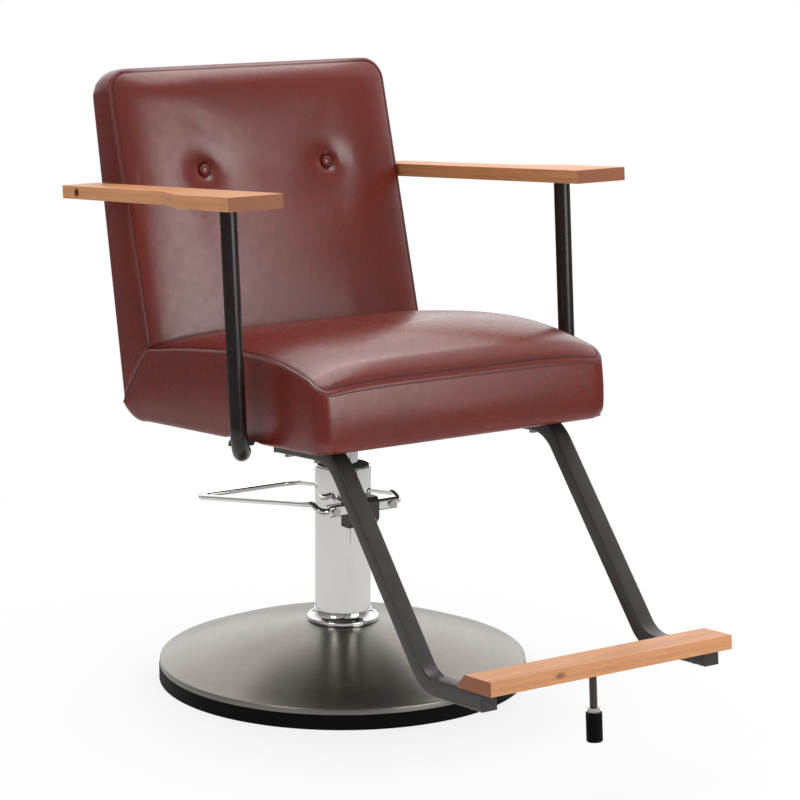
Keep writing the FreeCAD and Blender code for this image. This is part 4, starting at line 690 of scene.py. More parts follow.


# Name of the point attribute that carries painted shade in seams and round the buttons.
SEAM_SHADE = "seam_shade"
RAKE = math.radians(SEAT.tilt)
CHERRY: Triple = (0.68, 0.325, 0.148)
BIRCH: Triple = (0.55, 0.40, 0.24)


class Surface(Enum):
    """Every finish of the chair."""

    LEATHER = Leather("oxblood_leather", (0.156, 0.0155, 0.0100), 0.275)
    THREAD = Coated("oxblood_thread", (0.085, 0.012, 0.009), 0.62, grain=3000, dust=0.1, gloss=0.15)
    ARM_WOOD = Timber("arm_cherry", CHERRY, 0.42, turn=(RAKE, 0.0, math.radians(90)),
                      start=(0.0, 0.21, 0.0))
    PLANK_WOOD = Timber("footrest_cherry", CHERRY, 0.42, turn=(RAKE, 0.0, 0.0),
                        start=(0.0, 0.62, 0.0), knot=(-0.090, -0.667, 0.183))
    SEAT_PLY = Plies("seat_plywood", BIRCH, 0.62)
    BACK_PLY = Plies("back_plywood", BIRCH, 0.62, tilt=10.9, stack="Y")
    DARK_STEEL = Coated("brown_black_steel", (0.050, 0.042, 0.040), 0.40, grain=1600,
                        depth=0.00002, dust=0.12, metallic=0.25, coat=0.15)
    POST_PAINT = Coated("black_gloss_paint", (0.015, 0.009, 0.007), 0.30, grain=1600,
                        depth=0.00002, dust=0.08, coat=0.2)
    CHROME = Metal("polished_chrome", (0.88, 0.87, 0.85), 0.055)
    BRIGHT_ROD = Metal("ground_rod", (0.80, 0.80, 0.79), 0.08, lines=2600,
                       stretch=(0.05, 0.05, 1.0))
    DOME = SpunSteel("spun_steel", (0.275, 0.256, 0.226), 0.30)
    STEEL = Metal("zinc_steel", (0.58, 0.575, 0.555), 0.30, depth=0.00001, smudge=0.10)
    IRON = Coated("cast_iron", (0.045, 0.043, 0.041), 0.62, grain=700, depth=0.0002, metallic=0.5)
    RUBBER = Coated("black_rubber", (0.003, 0.003, 0.003), 0.52, grain=1500, depth=0.00004,
                    dust=0.02, gloss=0.08)
    PLASTIC = Coated("black_plastic", (0.012, 0.012, 0.012), 0.40, grain=2200, depth=0.00003,
                     dust=0.2)
    LINING = Coated("black_lining", (0.022, 0.021, 0.020), 0.85, grain=1100, depth=0.0003, dust=0.5)

    def material(self) -> bpy.types.Material:
        """The finish's material."""
        return self.value.material()


SLOT_FINISH = {
    "leather": Surface.LEATHER, "wood": Surface.ARM_WOOD, "plywood": Surface.SEAT_PLY,
    "dark_steel": Surface.DARK_STEEL, "chrome": Surface.CHROME, "cover_steel": Surface.DOME,
    "iron": Surface.IRON, "steel": Surface.STEEL, "rubber": Surface.RUBBER,
    "black_plastic": Surface.PLASTIC, "lining": Surface.LINING,
}
NODE_FINISH = {
    "footrest_plank": Surface.PLANK_WOOD, "back_board": Surface.BACK_PLY,
    "piston_rod": Surface.BRIGHT_ROD, "arm_bolts": Surface.DARK_STEEL,
}


# Mesh helpers


DOUBLED = 1e-6
CRISP_TURNED = math.radians(35)
CRISP_SWEPT = math.radians(40)


def new_piece(name: str, data: bpy.types.ID) -> Piece:
    """Make an object of its data, linked to the scene."""
    piece = bpy.data.objects.new(name, data)
    bpy.context.scene.collection.objects.link(piece)
    return piece


def mesh_piece(name: str, points: Sequence[Vector], faces: Sequence[tuple[int, ...]],
               surface: Surface) -> Piece:
    """Make a closed and smooth mesh object at the origin.

    Args:
        name: The piece's name.
        points: Vertices in the model's frame. Doubled ones are merged.
        faces: Vertex numbers of each face, which are turned outwards.
        surface: The finish.

    Returns:
        The new object.
    """
    mesh = bpy.data.meshes.new(name)
    mesh.from_pydata([tuple(p) for p in points], [], faces)
    mesh.materials.append(surface.material())
    work = bmesh.new()
    work.from_mesh(mesh)
    bmesh.ops.remove_doubles(work, verts=work.verts, dist=DOUBLED)
    bmesh.ops.recalc_face_normals(work, faces=work.faces)
    work.to_mesh(mesh)
    work.free()
    for polygon in mesh.polygons:
        polygon.use_smooth = True
    return new_piece(name, mesh)


def plain_copy(piece: Piece) -> Piece:
    """Replace a piece's mesh and modifiers by the plain mesh that they give."""
    bpy.context.view_layer.update()
    depsgraph = bpy.context.evaluated_depsgraph_get()
    made = bpy.data.meshes.new_from_object(piece.evaluated_get(depsgraph))
    made.name = piece.name
    piece.modifiers.clear()
    piece.data = made
    return piece


def subdivided(piece: Piece) -> Piece:
    """Round a piece's faces by one subdivision, kept in its plain mesh."""
    smooth = piece.modifiers.new("smooth", "SUBSURF")
    smooth.levels = smooth.render_levels = 1
    return plain_copy(piece)


def walls(rows: int, count: int, start: int = 0, closed: bool = False) -> list[tuple[int, ...]]:
    """Quads between rows of points that each close into a ring.

    Args:
        rows: Number of rows.
        count: Points in a row.
        start: Number of the first point.
        closed: Whether the last row joins the first.

    Returns:
        The faces.
    """
    faces = []
    for row in range(rows if closed else rows - 1):
        near, far = start + row * count, start + (row + 1) % rows * count
        for step in range(count):
            after = (step + 1) % count
            faces.append((near + step, near + after, far + after, far + step))
    return faces


def lathe(name: str, profile: Sequence[Pair], surface: Surface, steps: int) -> Piece:
    """Turn a closed profile about the column's axis.

    Args:
        name: The piece's name.
        profile: (radius, height) corners of the closed section.
        surface: The finish.
        steps: Facets round the axis.

    Returns:
        The turned piece.
    """
    points = []
    for step in range(steps):
        angle = 2 * math.pi * step / steps
        points += [Vector((radius * math.cos(angle), radius * math.sin(angle), height))
                   for radius, height in profile]
    faces = [(a, d, c, b) for a, b, c, d in walls(steps, len(profile), closed=True)]
    piece = mesh_piece(name, points, faces, surface)
    piece.data.set_sharp_from_angle(angle=CRISP_TURNED)
    return piece


def arc(centre: Pair, radii: Pair, start: float, stop: float, steps: int) -> list[Pair]:
    """Points along an arc.

    Args:
        centre: The arc's centre.
        radii: Its radius along each axis.
        start: Angle of its first point in degrees.
        stop: Angle of its last point in degrees.
        steps: Number of steps between them.

    Returns:
        One point more than there are steps.
    """
    turns = [math.radians(start + (stop - start) * step / steps) for step in range(steps + 1)]
    return [(centre[0] + radii[0] * math.cos(turn), centre[1] + radii[1] * math.sin(turn))
            for turn in turns]


def bowed(start: Pair, end: Pair, bow: Pair, steps: int) -> list[Pair]:
    """Points along a shallow curve, without its start.

    Args:
        start: Where the curve starts.
        end: Where it ends.
        bow: How far its middle stands off the straight line, along each axis.
        steps: Number of points.

    Returns:
        The points.
    """
    made = []
    for share in (step / steps for step in range(1, steps + 1)):
        off = 4 * share * (1 - share)
        made.append(tuple(a + (b - a) * share + off * rise for a, b, rise in zip(start, end, bow)))
    return made


def smooth_line(points: Sequence[Pair], at: float) -> float:
    """Read a smooth curve through a few points.

    Args:
        points: (place, value) pairs in rising order of place.
        at: Where the curve is read.

    Returns:
        The curve's value, level beyond its ends.
    """
    if at <= points[0][0]:
        return points[0][1]
    if at >= points[-1][0]:
        return points[-1][1]
    index = max(i for i in range(len(points) - 1) if points[i][0] <= at)

    def slope(i: int) -> float:
        before, after = points[max(i - 1, 0)], points[min(i + 1, len(points) - 1)]
        return (after[1] - before[1]) / (after[0] - before[0])

    (x0, y0), (x1, y1) = points[index], points[index + 1]
    span = x1 - x0
    t = (at - x0) / span
    rise = (2 * t**3 - 3 * t**2 + 1) * y0 + (3 * t**2 - 2 * t**3) * y1
    return rise + span * ((t**3 - 2 * t**2 + t) * slope(index) + (t**3 - t**2) * slope(index + 1))


def round_corner(across: float, along: float, radius: float) -> Pair:
    """Bend a square corner region into a quarter disc.

    Args:
        across: Distance past the corner's centre one way.
        along: Distance past the corner's centre the other way.
        radius: Radius of the corner.

    Returns:
        The two distances after rounding.
    """
    if across <= 0 or along <= 0:
        return across, along
    scale = max(across, along) / math.hypot(across, along)
    return min(across, radius) * scale, min(along, radius) * scale


def graded(length: float, near: Sequence[float], far: Sequence[float], step: float) -> list[float]:
    """Places along a length, close together at the ends and even between.

    Args:
        length: The whole length.
        near: Offsets from the start.
        far: Offsets from the end.
        step: Largest step between.

    Returns:
        Rising places from 0 to length.
    """
    start, stop = near[-1], length - far[-1]
    count = max(1, math.ceil((stop - start) / step))
    middle = [start + (stop - start) * i / count for i in range(1, count)]
    return [*near, *middle, *(length - offset for offset in reversed(far))]


def closer(places: Sequence[float], centres: Sequence[float]) -> list[float]:
    """Put closer places round some centres.

    Args:
        places: Rising places.
        centres: Where they come closer.

    Returns:
        The rising places with the closer ones.
    """
    reach, step = 0.018, 0.0024
    kept = [p for p in places if all(abs(p - centre) > reach + step for centre in centres)]
    count = round(2 * reach / step)
    offsets = [2 * reach * n / count for n in range(count + 1)]
    return sorted(kept + [centre - reach + offset for centre in centres for offset in offsets])


class Lattice:
    """A closed box of quads whose points a shape function bends into place."""

    def __init__(self, *places: Sequence[float]) -> None:
        """Number the points on the box's surface, given the places along its three axes."""
        self.places = places
        self.last = tuple(len(row) - 1 for row in places)
        keys = product(*(range(end + 1) for end in self.last))
        shell = (key for key in keys if any(n in (0, end) for n, end in zip(key, self.last)))
        self.number: dict[Key, int] = {key: number for number, key in enumerate(shell)}

    def place(self, key: Key) -> Triple:
        """The places of a point along the three axes."""
        return tuple(row[n] for row, n in zip(self.places, key))

    def faces(self) -> list[tuple[int, ...]]:
        """Quads of the box's six sides."""
        made = []
        for axis in range(3):
            first, second = (a for a in range(3) if a != axis)
            cells = product((0, self.last[axis]), range(self.last[first]), range(self.last[second]))
            for end, p, q in cells:
                corners = []
                for dp, dq in ((0, 0), (1, 0), (1, 1), (0, 1)):
                    key = [0, 0, 0]
                    key[axis], key[first], key[second] = end, p + dp, q + dq
                    corners.append(self.number[tuple(key)])
                made.append(tuple(corners))
        return made

    def piece(self, name: str, drawn_in: TiltedFrame, shape: Callable[..., Vector]) -> Piece:
        """Make a leather piece of the box.

        Args:
            name: The piece's name.
            drawn_in: The frame that the shape is drawn in.
            shape: Takes the three places of a point and returns where it goes.

        Returns:
            The piece, with its vertices in number order.
        """
        points = [drawn_in.world(shape(*self.place(key))) for key in self.number]
        return mesh_piece(name, points, self.faces(), Surface.LEATHER)

    def where(self, test: Callable[[int, int, int], bool]) -> list[int]:
        """Numbers of the points that pass a test on their three places' numbers."""
        return [n for key, n in self.number.items() if test(*key)]


# Upholstery


@dataclass
class Padding:
    """How a cushion's panels swell in their cloth simulation.

    Attributes:
        frames: Steps of the simulation.
        cap: Furthest that a point may move.
        cloth: Settings of the cloth.
    """

    frames: int = 20
    cap: float = 0.006
    cloth: dict[str, object] = field(default_factory=lambda: {
        "quality": 5, "mass": 0.4, "tension_stiffness": 40, "compression_stiffness": 40,
        "shear_stiffness": 20, "bending_stiffness": 8, "use_pressure": True,
        "uniform_pressure_force": 1.2, "vertex_group_mass": "sewn",
    })

    def swell(self, piece: Piece, sewn: Iterable[int]) -> None:
        """Inflate a cushion between its sewn points and keep the result in its mesh.

        Args:
            piece: The cushion.
            sewn: Numbers of the points that don't move.
        """
        group = piece.vertex_groups.new(name="sewn")
        group.add(list(sewn), 1.0, "REPLACE")
        cloth = piece.modifiers.new("padding", "CLOTH")
        for name, value in self.cloth.items():
            setattr(cloth.settings, name, value)
        cloth.settings.effector_weights.gravity = 0
        cloth.collision_settings.use_collision = False
        cloth.collision_settings.use_self_collision = False
        cloth.point_cache.frame_start, cloth.point_cache.frame_end = 1, self.frames
        for frame_number in range(1, self.frames + 1):
            bpy.context.scene.frame_set(frame_number)
        depsgraph = bpy.context.evaluated_depsgraph_get()
        swollen = [v.co.copy() for v in piece.evaluated_get(depsgraph).data.vertices]
        piece.modifiers.remove(cloth)
        piece.vertex_groups.remove(group)
        bpy.context.scene.frame_set(1)
        moves = [target - vertex.co for vertex, target in zip(piece.data.vertices, swollen)]
        furthest = max(move.length for move in moves)
        LOG.info("%s: swells by %.1f mm at most", piece.name, furthest * 1000)
        for vertex, move in zip(piece.data.vertices, moves):
            if move.length > self.cap:
                move *= self.cap / move.length
            vertex.co += move


SEAM_STEPS = (0.0, 0.0012, 0.0032, 0.0054, 0.0059, 0.0095, 0.014, 0.020)
BAND_STEPS = (0.0, 0.0012, 0.0032, 0.006, 0.011)
HEM_STEPS = (0.0, 0.002, 0.005, 0.009)
JOINT_STEPS = (0.0, 0.002)
STITCH_LINES = (3, 4)


@dataclass
class Cushion:
    """A crowned cushion: a front panel sewn to a band that wraps three of its sides.

    Attributes:
        name: The piece's name.
        frame: The frame that the cushion is drawn in.
        band: Height of the lattice from the hem to the seam.
        reach: Length of the lattice from the free end to the joint.
        corner: Radius of the free end's corners.
        half_width: Half width at the seams.
        side_swell: Swell of the band.
        step: Largest spacing of the mesh.
        seam: Depth of the seam's valley, and its share of the painted shade.
        stitch: The same for the stitch lines beside the seam.
        joined: The same for the joint between seat and back.
    """

    name: str
    frame: TiltedFrame
    band: float
    reach: float
    corner: float
    half_width: float = 0.2468
    side_swell: float = 0.0022
    step: float = 0.0075
    seam: Pair = (0.0013, 1.0)
    stitch: Pair = (0.0006, 0.4)
    joined: Pair = (0.0007, 0.35)
    lattice: Lattice = field(init=False)
    piece: Piece = field(init=False)

    def shape(self, x: float, along: float, up: float) -> Vector:
        """Place one point of the lattice.

        Args:
            x: Place across the cushion.
            along: Distance from the cushion's free end.
            up: Distance from the band's hem.

        Returns:
            The point in the cushion's frame.
        """
        raise NotImplementedError

    def end_steps(self) -> tuple[float, ...]:
        """Further close steps from the free end, past the seam's own."""
        raise NotImplementedError

    def refine(self, across: list[float], along: list[float]) -> tuple[list[float], list[float]]:
        """Put closer places where the panel has fine forms.

        Args:
            across: Places across the cushion.
            along: Places from its free end.

        Returns:
            The two lists with the closer places.
        """
        return across, along

    def half_at(self, past: float) -> float:
        """Half width of the panel, given how far past the corners' centres it is."""
        if past <= 0:
            return self.half_width
        return self.half_width + math.sqrt(max(self.corner**2 - past**2, 0)) - self.corner

    def cornered(self, x: float, past: float) -> tuple[float, float, Vector]:
        """Round the corners of the free end.

        Args:
            x: Place across.
            past: Distance past the corners' centres, towards the free end.

        Returns:
            Both places after rounding, and the way out of the cushion, across and towards the
            free end. It is zero inside the cushion.
        """
        past_x = abs(x) - self.half_width + self.corner
        side, ahead = round_corner(past_x, past, self.corner)
        if past_x > 0:
            x = math.copysign(self.half_width - self.corner + side, x)
        out = Vector((math.copysign(max(side, 0), x), max(ahead, 0)))
        out = out.normalized() if out.length > self.corner / 2 else Vector((0, 0))
        return x, ahead, out

    def wrapped(self, x: float, along: float, share: float, rise: float, edge: float,
                out: Vector) -> tuple[Vector, float]:
        """Swell the band and round the edge between it and the hem.

        Args:
            x: Place across.
            along: Distance from the free end.
            share: Share of the way from the hem to the seam.
            rise: Distance from the hem.
            edge: Radius of the hem's edge.
            out: The way out of the cushion.

        Returns:
            The shift of the point along the two axes of out, and its new distance from the hem.
        """
        shift = out * 0
        if along >= self.reach:
            return shift, rise
        if 0 < share < 1:
            shift = out * self.side_swell * 4 * share * (1 - share)
        inset = max(0.0, min(self.half_width - abs(x), along)) if share == 0 else 0.0
        if inset < edge and rise < edge:
            moved_out, moved_in = round_corner(edge - inset, edge - rise, edge)
            return shift + out * (moved_out - (edge - inset)), edge - moved_in
        return shift, rise

    def make(self) -> Piece:
        """Build the cushion's mesh and swell it between its seams."""
        ends = graded(2 * self.half_width, SEAM_STEPS, SEAM_STEPS, self.step)
        across = [x - self.half_width for x in ends]
        along = graded(self.reach, (*SEAM_STEPS, *self.end_steps()), JOINT_STEPS, self.step)
        up = graded(self.band, HEM_STEPS, BAND_STEPS, self.step)
        self.lattice = Lattice(*self.refine(across, along), up)
        self.piece = self.lattice.piece(self.name, self.frame, self.shape)
        Padding().swell(self.piece, self.still_numbers())
        return self.piece

    def still_numbers(self) -> list[int]:
        """Numbers of the points that don't swell: the hem, the joint and the seam."""
        last = self.lattice.last
        return self.lattice.where(lambda i, j, k: k <= 1 or j == last[1] or (
            k == last[2] and (i in (0, last[0]) or j == 0)))

    def sew(self) -> None:
        """Sink the seam and the stitch line beside it, paint shade into them, and finish the
        surface.
        """
        last = self.lattice.last
        mesh = self.piece.data
        normals = [v.normal.copy() for v in mesh.vertices]
        # The seam shade attribute holds painted shade for the seam valleys, stitch lines, joint and
        # button gaps.
        shade = mesh.attributes.new(SEAM_SHADE, "FLOAT", "POINT")
        for (i, j, k), number in self.lattice.number.items():
            inward = min(i, last[0] - i, j)
            sink, dark = 0.0, 0.0
            if k == last[2] and inward == 0:
                sink, dark = self.seam
            elif k == last[2] and inward in STITCH_LINES and j < last[1] - 1:
                sink, dark = self.stitch
            elif j == last[1] and (i in (0, last[0]) or k == last[2]):
                sink, dark = self.joined
            vertex = mesh.vertices[number]
            shade.data[number].value = max(dark, self.painted_shade(vertex.co))
            vertex.co -= normals[number] * sink
        subdivided(self.piece)

    def painted_shade(self, point: Vector) -> float:
        """Share of the painted shade at a point of the model away from the seams, from 0 to 1."""
        return 0.0

    def stitch_path(self) -> list[Vector]:
        """Points along the stitch line, from the joint round the free end and back."""
        last = self.lattice.last
        outer, inner = STITCH_LINES
        keys = [(outer, j, last[2]) for j in range(last[1] - 2, outer, -1)]
        keys += [(i, outer, last[2]) for i in range(outer, last[0] - outer + 1)]
        keys += [(last[0] - outer, j, last[2]) for j in range(outer + 1, last[1] - 1)]
        beside = {outer: inner, last[0] - outer: last[0] - inner}
        path = []
        for i, j, k in keys:
            partner = (beside.get(i, i), inner if j == outer else j, k)
            pair = (self.lattice.number[i, j, k], self.lattice.number[partner])
            path.append(sum((self.piece.data.vertices[n].co for n in pair), Vector()) / 2)
        return path


@dataclass
class SeatCushion(Cushion):
    """The crowned seat, with a rounded heel and a padded edge wrapped under its board.

    Attributes:
        front: Front face ahead of the axis.
        under: Underside of the padded edge.
        joint: Y plus Z of the mitred joint with the back.
        crown_power: How square the crown is across.
        seam_heights: Height of the seam at places from front to back.
        crowns: Rise of the panel over its seams at places from front to back.
        heel_centre: Centre of the rounded heel, along and up.
        heel_radius: Radius of the heel.
        heel_start: Where the heel starts.
        heel_rise: Height of the heel's end over the underside.
        edges: Radius of the hem's edge, and what the front and the corners add to it.
        hollow_half: Half width of the hollow for the board.
        hollow_front: Front wall of the hollow.
        hollow_back: Rear wall of the hollow.
        hollow_top: Top of the hollow.
    """

    band: float = 0.118
    reach: float = 0.50
    corner: float = 0.022
    front: float = -0.333
    under: float = 0.019
    joint: float = 0.27865
    crown_power: float = 5.0
    seam_heights: tuple[Pair, ...] = (
        (-0.333, 0.101), (-0.324, 0.109), (-0.314, 0.1155), (-0.305, 0.1205), (-0.215, 0.1395),
        (-0.125, 0.146), (-0.035, 0.143), (0.055, 0.138), (0.146, 0.130), (0.236, 0.125),
    )
    crowns: tuple[Pair, ...] = (
        (-0.333, 0.005), (-0.324, 0.0132), (-0.314, 0.0184), (-0.305, 0.0214), (-0.285, 0.0252),
        (-0.260, 0.0272), (-0.215, 0.0276), (-0.170, 0.0266), (-0.125, 0.0250), (-0.035, 0.0238),
        (0.055, 0.021), (0.146, 0.015), (0.236, 0.010),
    )
    heel_centre: Pair = (0.1794, 0.0925)
    heel_radius: float = 0.075
    heel_start: float = 0.16465
    heel_rise: float = 0.024
    edges: Triple = (0.0062, 0.0056, 0.016)
    hollow_half: float = 0.2412
    hollow_front: float = -0.3003
    hollow_back: float = 0.1843
    hollow_top: float = 0.0432

    def end_steps(self) -> tuple[float, ...]:
        """Close steps where the padded edge ends in front of the board."""
        wall = self.hollow_front - self.front
        return (0.0265, wall - 0.0003, wall + 0.0003)

    def hem(self, y: float) -> float:
        """Height of the cushion's underside at a place along it."""
        if y <= self.heel_start:
            return self.under
        cy, cz = self.heel_centre
        reach = min(abs(y - cy), self.heel_radius * 0.999)
        return cz - math.sqrt(self.heel_radius**2 - reach**2)

    def panel(self, x: float, y: float) -> float:
        """Height of the top panel at a place across and along."""
        share = min(1.0, abs(x) / self.half_at(self.front + self.corner - y))
        crown = smooth_line(self.crowns, y) * (1 - share**self.crown_power)
        return smooth_line(self.seam_heights, y) + crown

    def shape(self, x: float, along: float, up: float) -> Vector:
        """Place one point of the seat. See Cushion.shape."""
        share = up / self.band
        back_top = self.joint - self.panel(x, self.joint - self.panel(x, 0.14))
        back_low = self.joint - self.under - self.heel_rise
        back = back_low + (back_top - back_low) * share
        y = self.front + along + (back - self.front - self.reach) * (along / self.reach) ** 2
        x, ahead, out = self.cornered(x, self.front + self.corner - y)
        y = self.front + self.corner - ahead
        hem = self.hem(y)
        rise = (self.panel(x, y) - hem) * share
        if along >= self.reach:
            rise = self.joint - y - hem
        plain, ends, corners = self.edges
        edge = plain + ends * abs(out.y) + corners * abs(out.x * out.y)
        shift, rise = self.wrapped(x, along, share, rise, edge, out)
        x, y, z = x + shift.x, y - shift.y, hem + rise
        if share == 0:
            in_hollow = abs(x) < self.hollow_half and self.hollow_front < y < self.hollow_back
            z = self.hollow_top if in_hollow else max(z, SeatPost.press(x, y))
        return Vector((x, y, z))


@dataclass
class BackCushion(Cushion):
    """The crowned back with two sewn tufts.

    Attributes:
        top: Top of the back along its rear face.
        foot_depth: Depth of the band at the foot.
        taper: Depth that the band loses up to the top.
        crown_power: How square the crown is across.
        roll: Length over which the crown rolls in at the top.
        roll_power: How round that roll is.
        crowns: Depth of the panel over its seams at heights from foot to top.
        button: Places of the buttons, across and up.
        button_along: The buttons' distance from the top.
        tuft_depth: Depth of a tuft.
        tuft_wall: Radius of a tuft's steep part.
        tuft_reach: Radius of its wide part.
        steep_share: Share of the depth in the steep part.
        tuft_gap: Width of the gap round a button that is darkened by painted shade.
        edges: Radius of the rear edge, and what the top adds to it.
        foot_offset: Height of the mitred foot at the rear face.
        foot_slope: Height that the foot gains with each metre forwards.
        hollow_half: Half width of the hollow for the board and its panel.
        hollow_top: Top of the hollow.
        hollow_depth: Depth of the hollow.
    """

    band: float = 0.080
    reach: float = 0.46
    corner: float = 0.035
    top: float = 0.518
    foot_depth: float = 0.1019
    taper: float = 0.048
    crown_power: float = 5.8
    roll: float = 0.055
    roll_power: float = 2.6
    crowns: tuple[Pair, ...] = (
        (-0.04, 0.017), (0.1, 0.019), (0.25, 0.022), (0.40, 0.0235), (0.518, 0.023),
    )
    button: Pair = (0.1096, 0.3567)
    button_along: float = 0.1657
    tuft_depth: float = 0.0140
    tuft_wall: float = 0.0128
    tuft_reach: float = 0.028
    steep_share: float = 0.42
    tuft_gap: float = 0.0016
    edges: Pair = (0.008, 0.016)
    foot_offset: float = 0.02221
    foot_slope: float = 0.79829
    hollow_half: float = 0.2218
    hollow_top: float = 0.486
    hollow_depth: float = 0.0505

    def end_steps(self) -> tuple[float, ...]:
        """Close steps where the rear rim ends above the hollow."""
        wall = self.top - self.hollow_top
        return (0.026, wall - 0.0018, wall - 0.0003, wall + 0.0003)

    def refine(self, across: list[float], along: list[float]) -> tuple[list[float], list[float]]:
        """Put closer places round the buttons and at the rear hollow. See Cushion.refine."""
        steps = [self.hollow_half + step for step in (-0.0003, 0.0003, 0.0018)]
        rims = [side * step for side in (-1, 1) for step in steps]
        across = [x for x in across if all(abs(x - rim) > 0.0012 for rim in rims)]
        aside = self.button[0]
        return sorted(closer(across, (-aside, aside)) + rims), closer(along, (self.button_along,))

    def seam_depth(self, z: float) -> float:
        """Depth of the seam in front of the rear face at a height."""
        return self.foot_depth - self.taper * z / self.top

    def from_button(self, x: float, z: float) -> float:
        """Distance from the nearer button's centre."""
        return math.hypot(abs(x) - self.button[0], z - self.button[1])

    def panel(self, x: float, z: float) -> float:
        """Depth of the front panel in front of the rear face, at a place across and a height."""
        share = min(1.0, abs(x) / self.half_at(z - self.top + self.corner))
        rolled = min(1.0, max(0.0, (self.top - z) / self.roll))
        crown = smooth_line(self.crowns, z) * (1 - share**self.crown_power)
        away = self.from_button(x, z)
        steep = self.steep_share / (1 + (away / self.tuft_wall) ** 6)
        wide = (1 - self.steep_share) * math.exp(-((away / self.tuft_reach) ** 2))
        return (self.seam_depth(z) + crown * (1 - (1 - rolled) ** self.roll_power)
                - self.tuft_depth * (steep + wide))

    def shape(self, x: float, along: float, up: float) -> Vector:
        """Place one point of the back. See Cushion.shape."""
        share = up / self.band
        # A first guess, which the loop brings to where the foot and the depth agree.
        depth = self.seam_depth(0.1) + 0.02
        for _ in range(3):
            foot = self.foot_offset + self.foot_slope * depth * share
            z = self.top - along - (self.top - foot - self.reach) * (along / self.reach) ** 2
            depth = self.panel(x, z) if share == 1 else self.seam_depth(z)
        x, above, out = self.cornered(x, z - self.top + self.corner)
        z = self.top - self.corner + above
        depth = self.panel(x, z) if share > 0 else self.seam_depth(z)
        edge = self.edges[0] + self.edges[1] * abs(out.y)
        shift, depth = self.wrapped(x, along, share, depth * share, edge, out)
        x, z = x + shift.x, z + shift.y
        if share == 0 and abs(x) < self.hollow_half and z < self.hollow_top:
            depth = self.hollow_depth
        return Vector((x, -depth, z))

    def painted_shade(self, point: Vector) -> float:
        """Painted shade in the gap round a button. See the same method of Cushion."""
        up = Vector((0, math.sin(math.radians(BACK.tilt)), math.cos(math.radians(BACK.tilt))))
        height = (point - Vector((0, BACK.y, BACK.z))).dot(up)
        # Painted shade in the recess round the button.
        in_gap = self.from_button(point.x, height) < Buttons.radius + self.tuft_gap
        return 0.9 if in_gap else 0.0

    def still_numbers(self) -> list[int]:
        """Numbers of the still points, with those under the buttons."""
        def under_button(key: Key) -> bool:
            point = self.shape(*self.lattice.place(key))
            return self.from_button(point.x, point.z) < self.tuft_wall

        front = self.lattice.last[2]
        return super().still_numbers() + self.lattice.where(
            lambda i, j, k: k == front and under_button((i, j, k)))


@dataclass
class RearPanel:
    """The padded panel that closes the back's rear.

    Attributes:
        half_width: Half width.
        top: Height of its top.
        thick: Thickness at the edges.
        sunk: How far its edges lie behind the cushion's rear face.
        crown: Swell of its middle.
        roll: Length over which the swell rises.
        gap: Gap over the mitred foot.
        step: Largest spacing of the mesh.
    """

    half_width: float = 0.2214
    top: float = 0.4854
    thick: float = 0.026
    sunk: float = 0.0015
    crown: float = 0.0035
    roll: float = 0.05
    gap: float = 0.001
    step: float = 0.012

    def shape(self, x: float, along: float, up: float) -> Vector:
        """Place one point of the panel.

        Args:
            x: Place across.
            along: Share of the way up.
            up: Share of the way from the board to the rear face.

        Returns:
            The point in the back frame.
        """
        y = -self.thick * (1 - up)
        foot = BackCushion.foot_offset - BackCushion.foot_slope * y + self.gap
        high = self.top - foot
        near = min(self.half_width - abs(x), (1 - along) * high, along * high)
        puff = 1 - (1 - min(1.0, near / self.roll)) ** 3
        return Vector((x, y + up * (self.crown * puff - self.sunk), foot + high * along))

    def make(self) -> Piece:
        """Build the panel's mesh."""
        ends = (0.0, 0.001, 0.003, 0.007, 0.014)
        across = [x - self.half_width for x in graded(2 * self.half_width, ends, ends, self.step)]
        along = [z / self.top for z in graded(self.top, ends, ends, self.step)]
        lattice = Lattice(across, along, (0.0, 0.5, 0.9, 1.0))
        return subdivided(lattice.piece("rear_panel_cover", BACK, self.shape))


@dataclass
class Buttons:
    """Two covered buttons, their leather pleated under the rim.

    Attributes:
        radius: Radius of a button.
        thick: Its thickness.
        face: Its face in front of the back's rear face.
        turn: Degrees that the cover turns from its centre round the rim.
        rise: Depth of the cover at a quarter turn, as a share of the thickness.
        pleats: Pleats round the rim.
        pleat: Share of the way at which the pleats start, and their depth over the radius.
        draw: Share of the way at which the cover draws in, and how far over the radius.
        rings: Rings of faces from the centre to the end of the cover.
    """

    radius: float = 0.0090
    thick: float = 0.0064
    face: float = 0.0851
    turn: float = 150
    rise: float = 0.62
    pleats: int = 22
    pleat: Pair = (0.45, 0.035)
    draw: Pair = (0.7, 0.35)
    rings: int = 9

    def make(self) -> Piece:
        """Build both buttons as one piece."""
        points, faces = [], []
        steps = self.pleats * 4
        for side in (-1, 1):
            start = len(points)
            centre = Vector((side * BackCushion.button[0], -self.face, BackCushion.button[1]))
            for ring in range(self.rings + 1):
                share = ring / self.rings
                turn = share * math.radians(self.turn)
                drawn_in = self.radius * self.draw[1] * max(0.0, share - self.draw[0])
                depth = self.thick * self.rise * (1 - math.cos(turn))
                pleating = self.pleat[1] * max(0.0, share - self.pleat[0])
                for step in range(steps):
                    angle = 2 * math.pi * step / steps
                    pleat = 1 - pleating * (1 + math.cos(angle * self.pleats))
                    radius = self.radius * math.sin(min(turn, math.pi / 2)) * pleat - drawn_in
                    points.append(BACK.world(centre + Vector((
                        radius * math.cos(angle), depth, radius * math.sin(angle)))))
            faces += walls(self.rings + 1, steps, start)
            last = start + self.rings * steps
            faces.append(tuple(range(last, last + steps)))
        return mesh_piece("button_covers", points, faces, Surface.LEATHER)


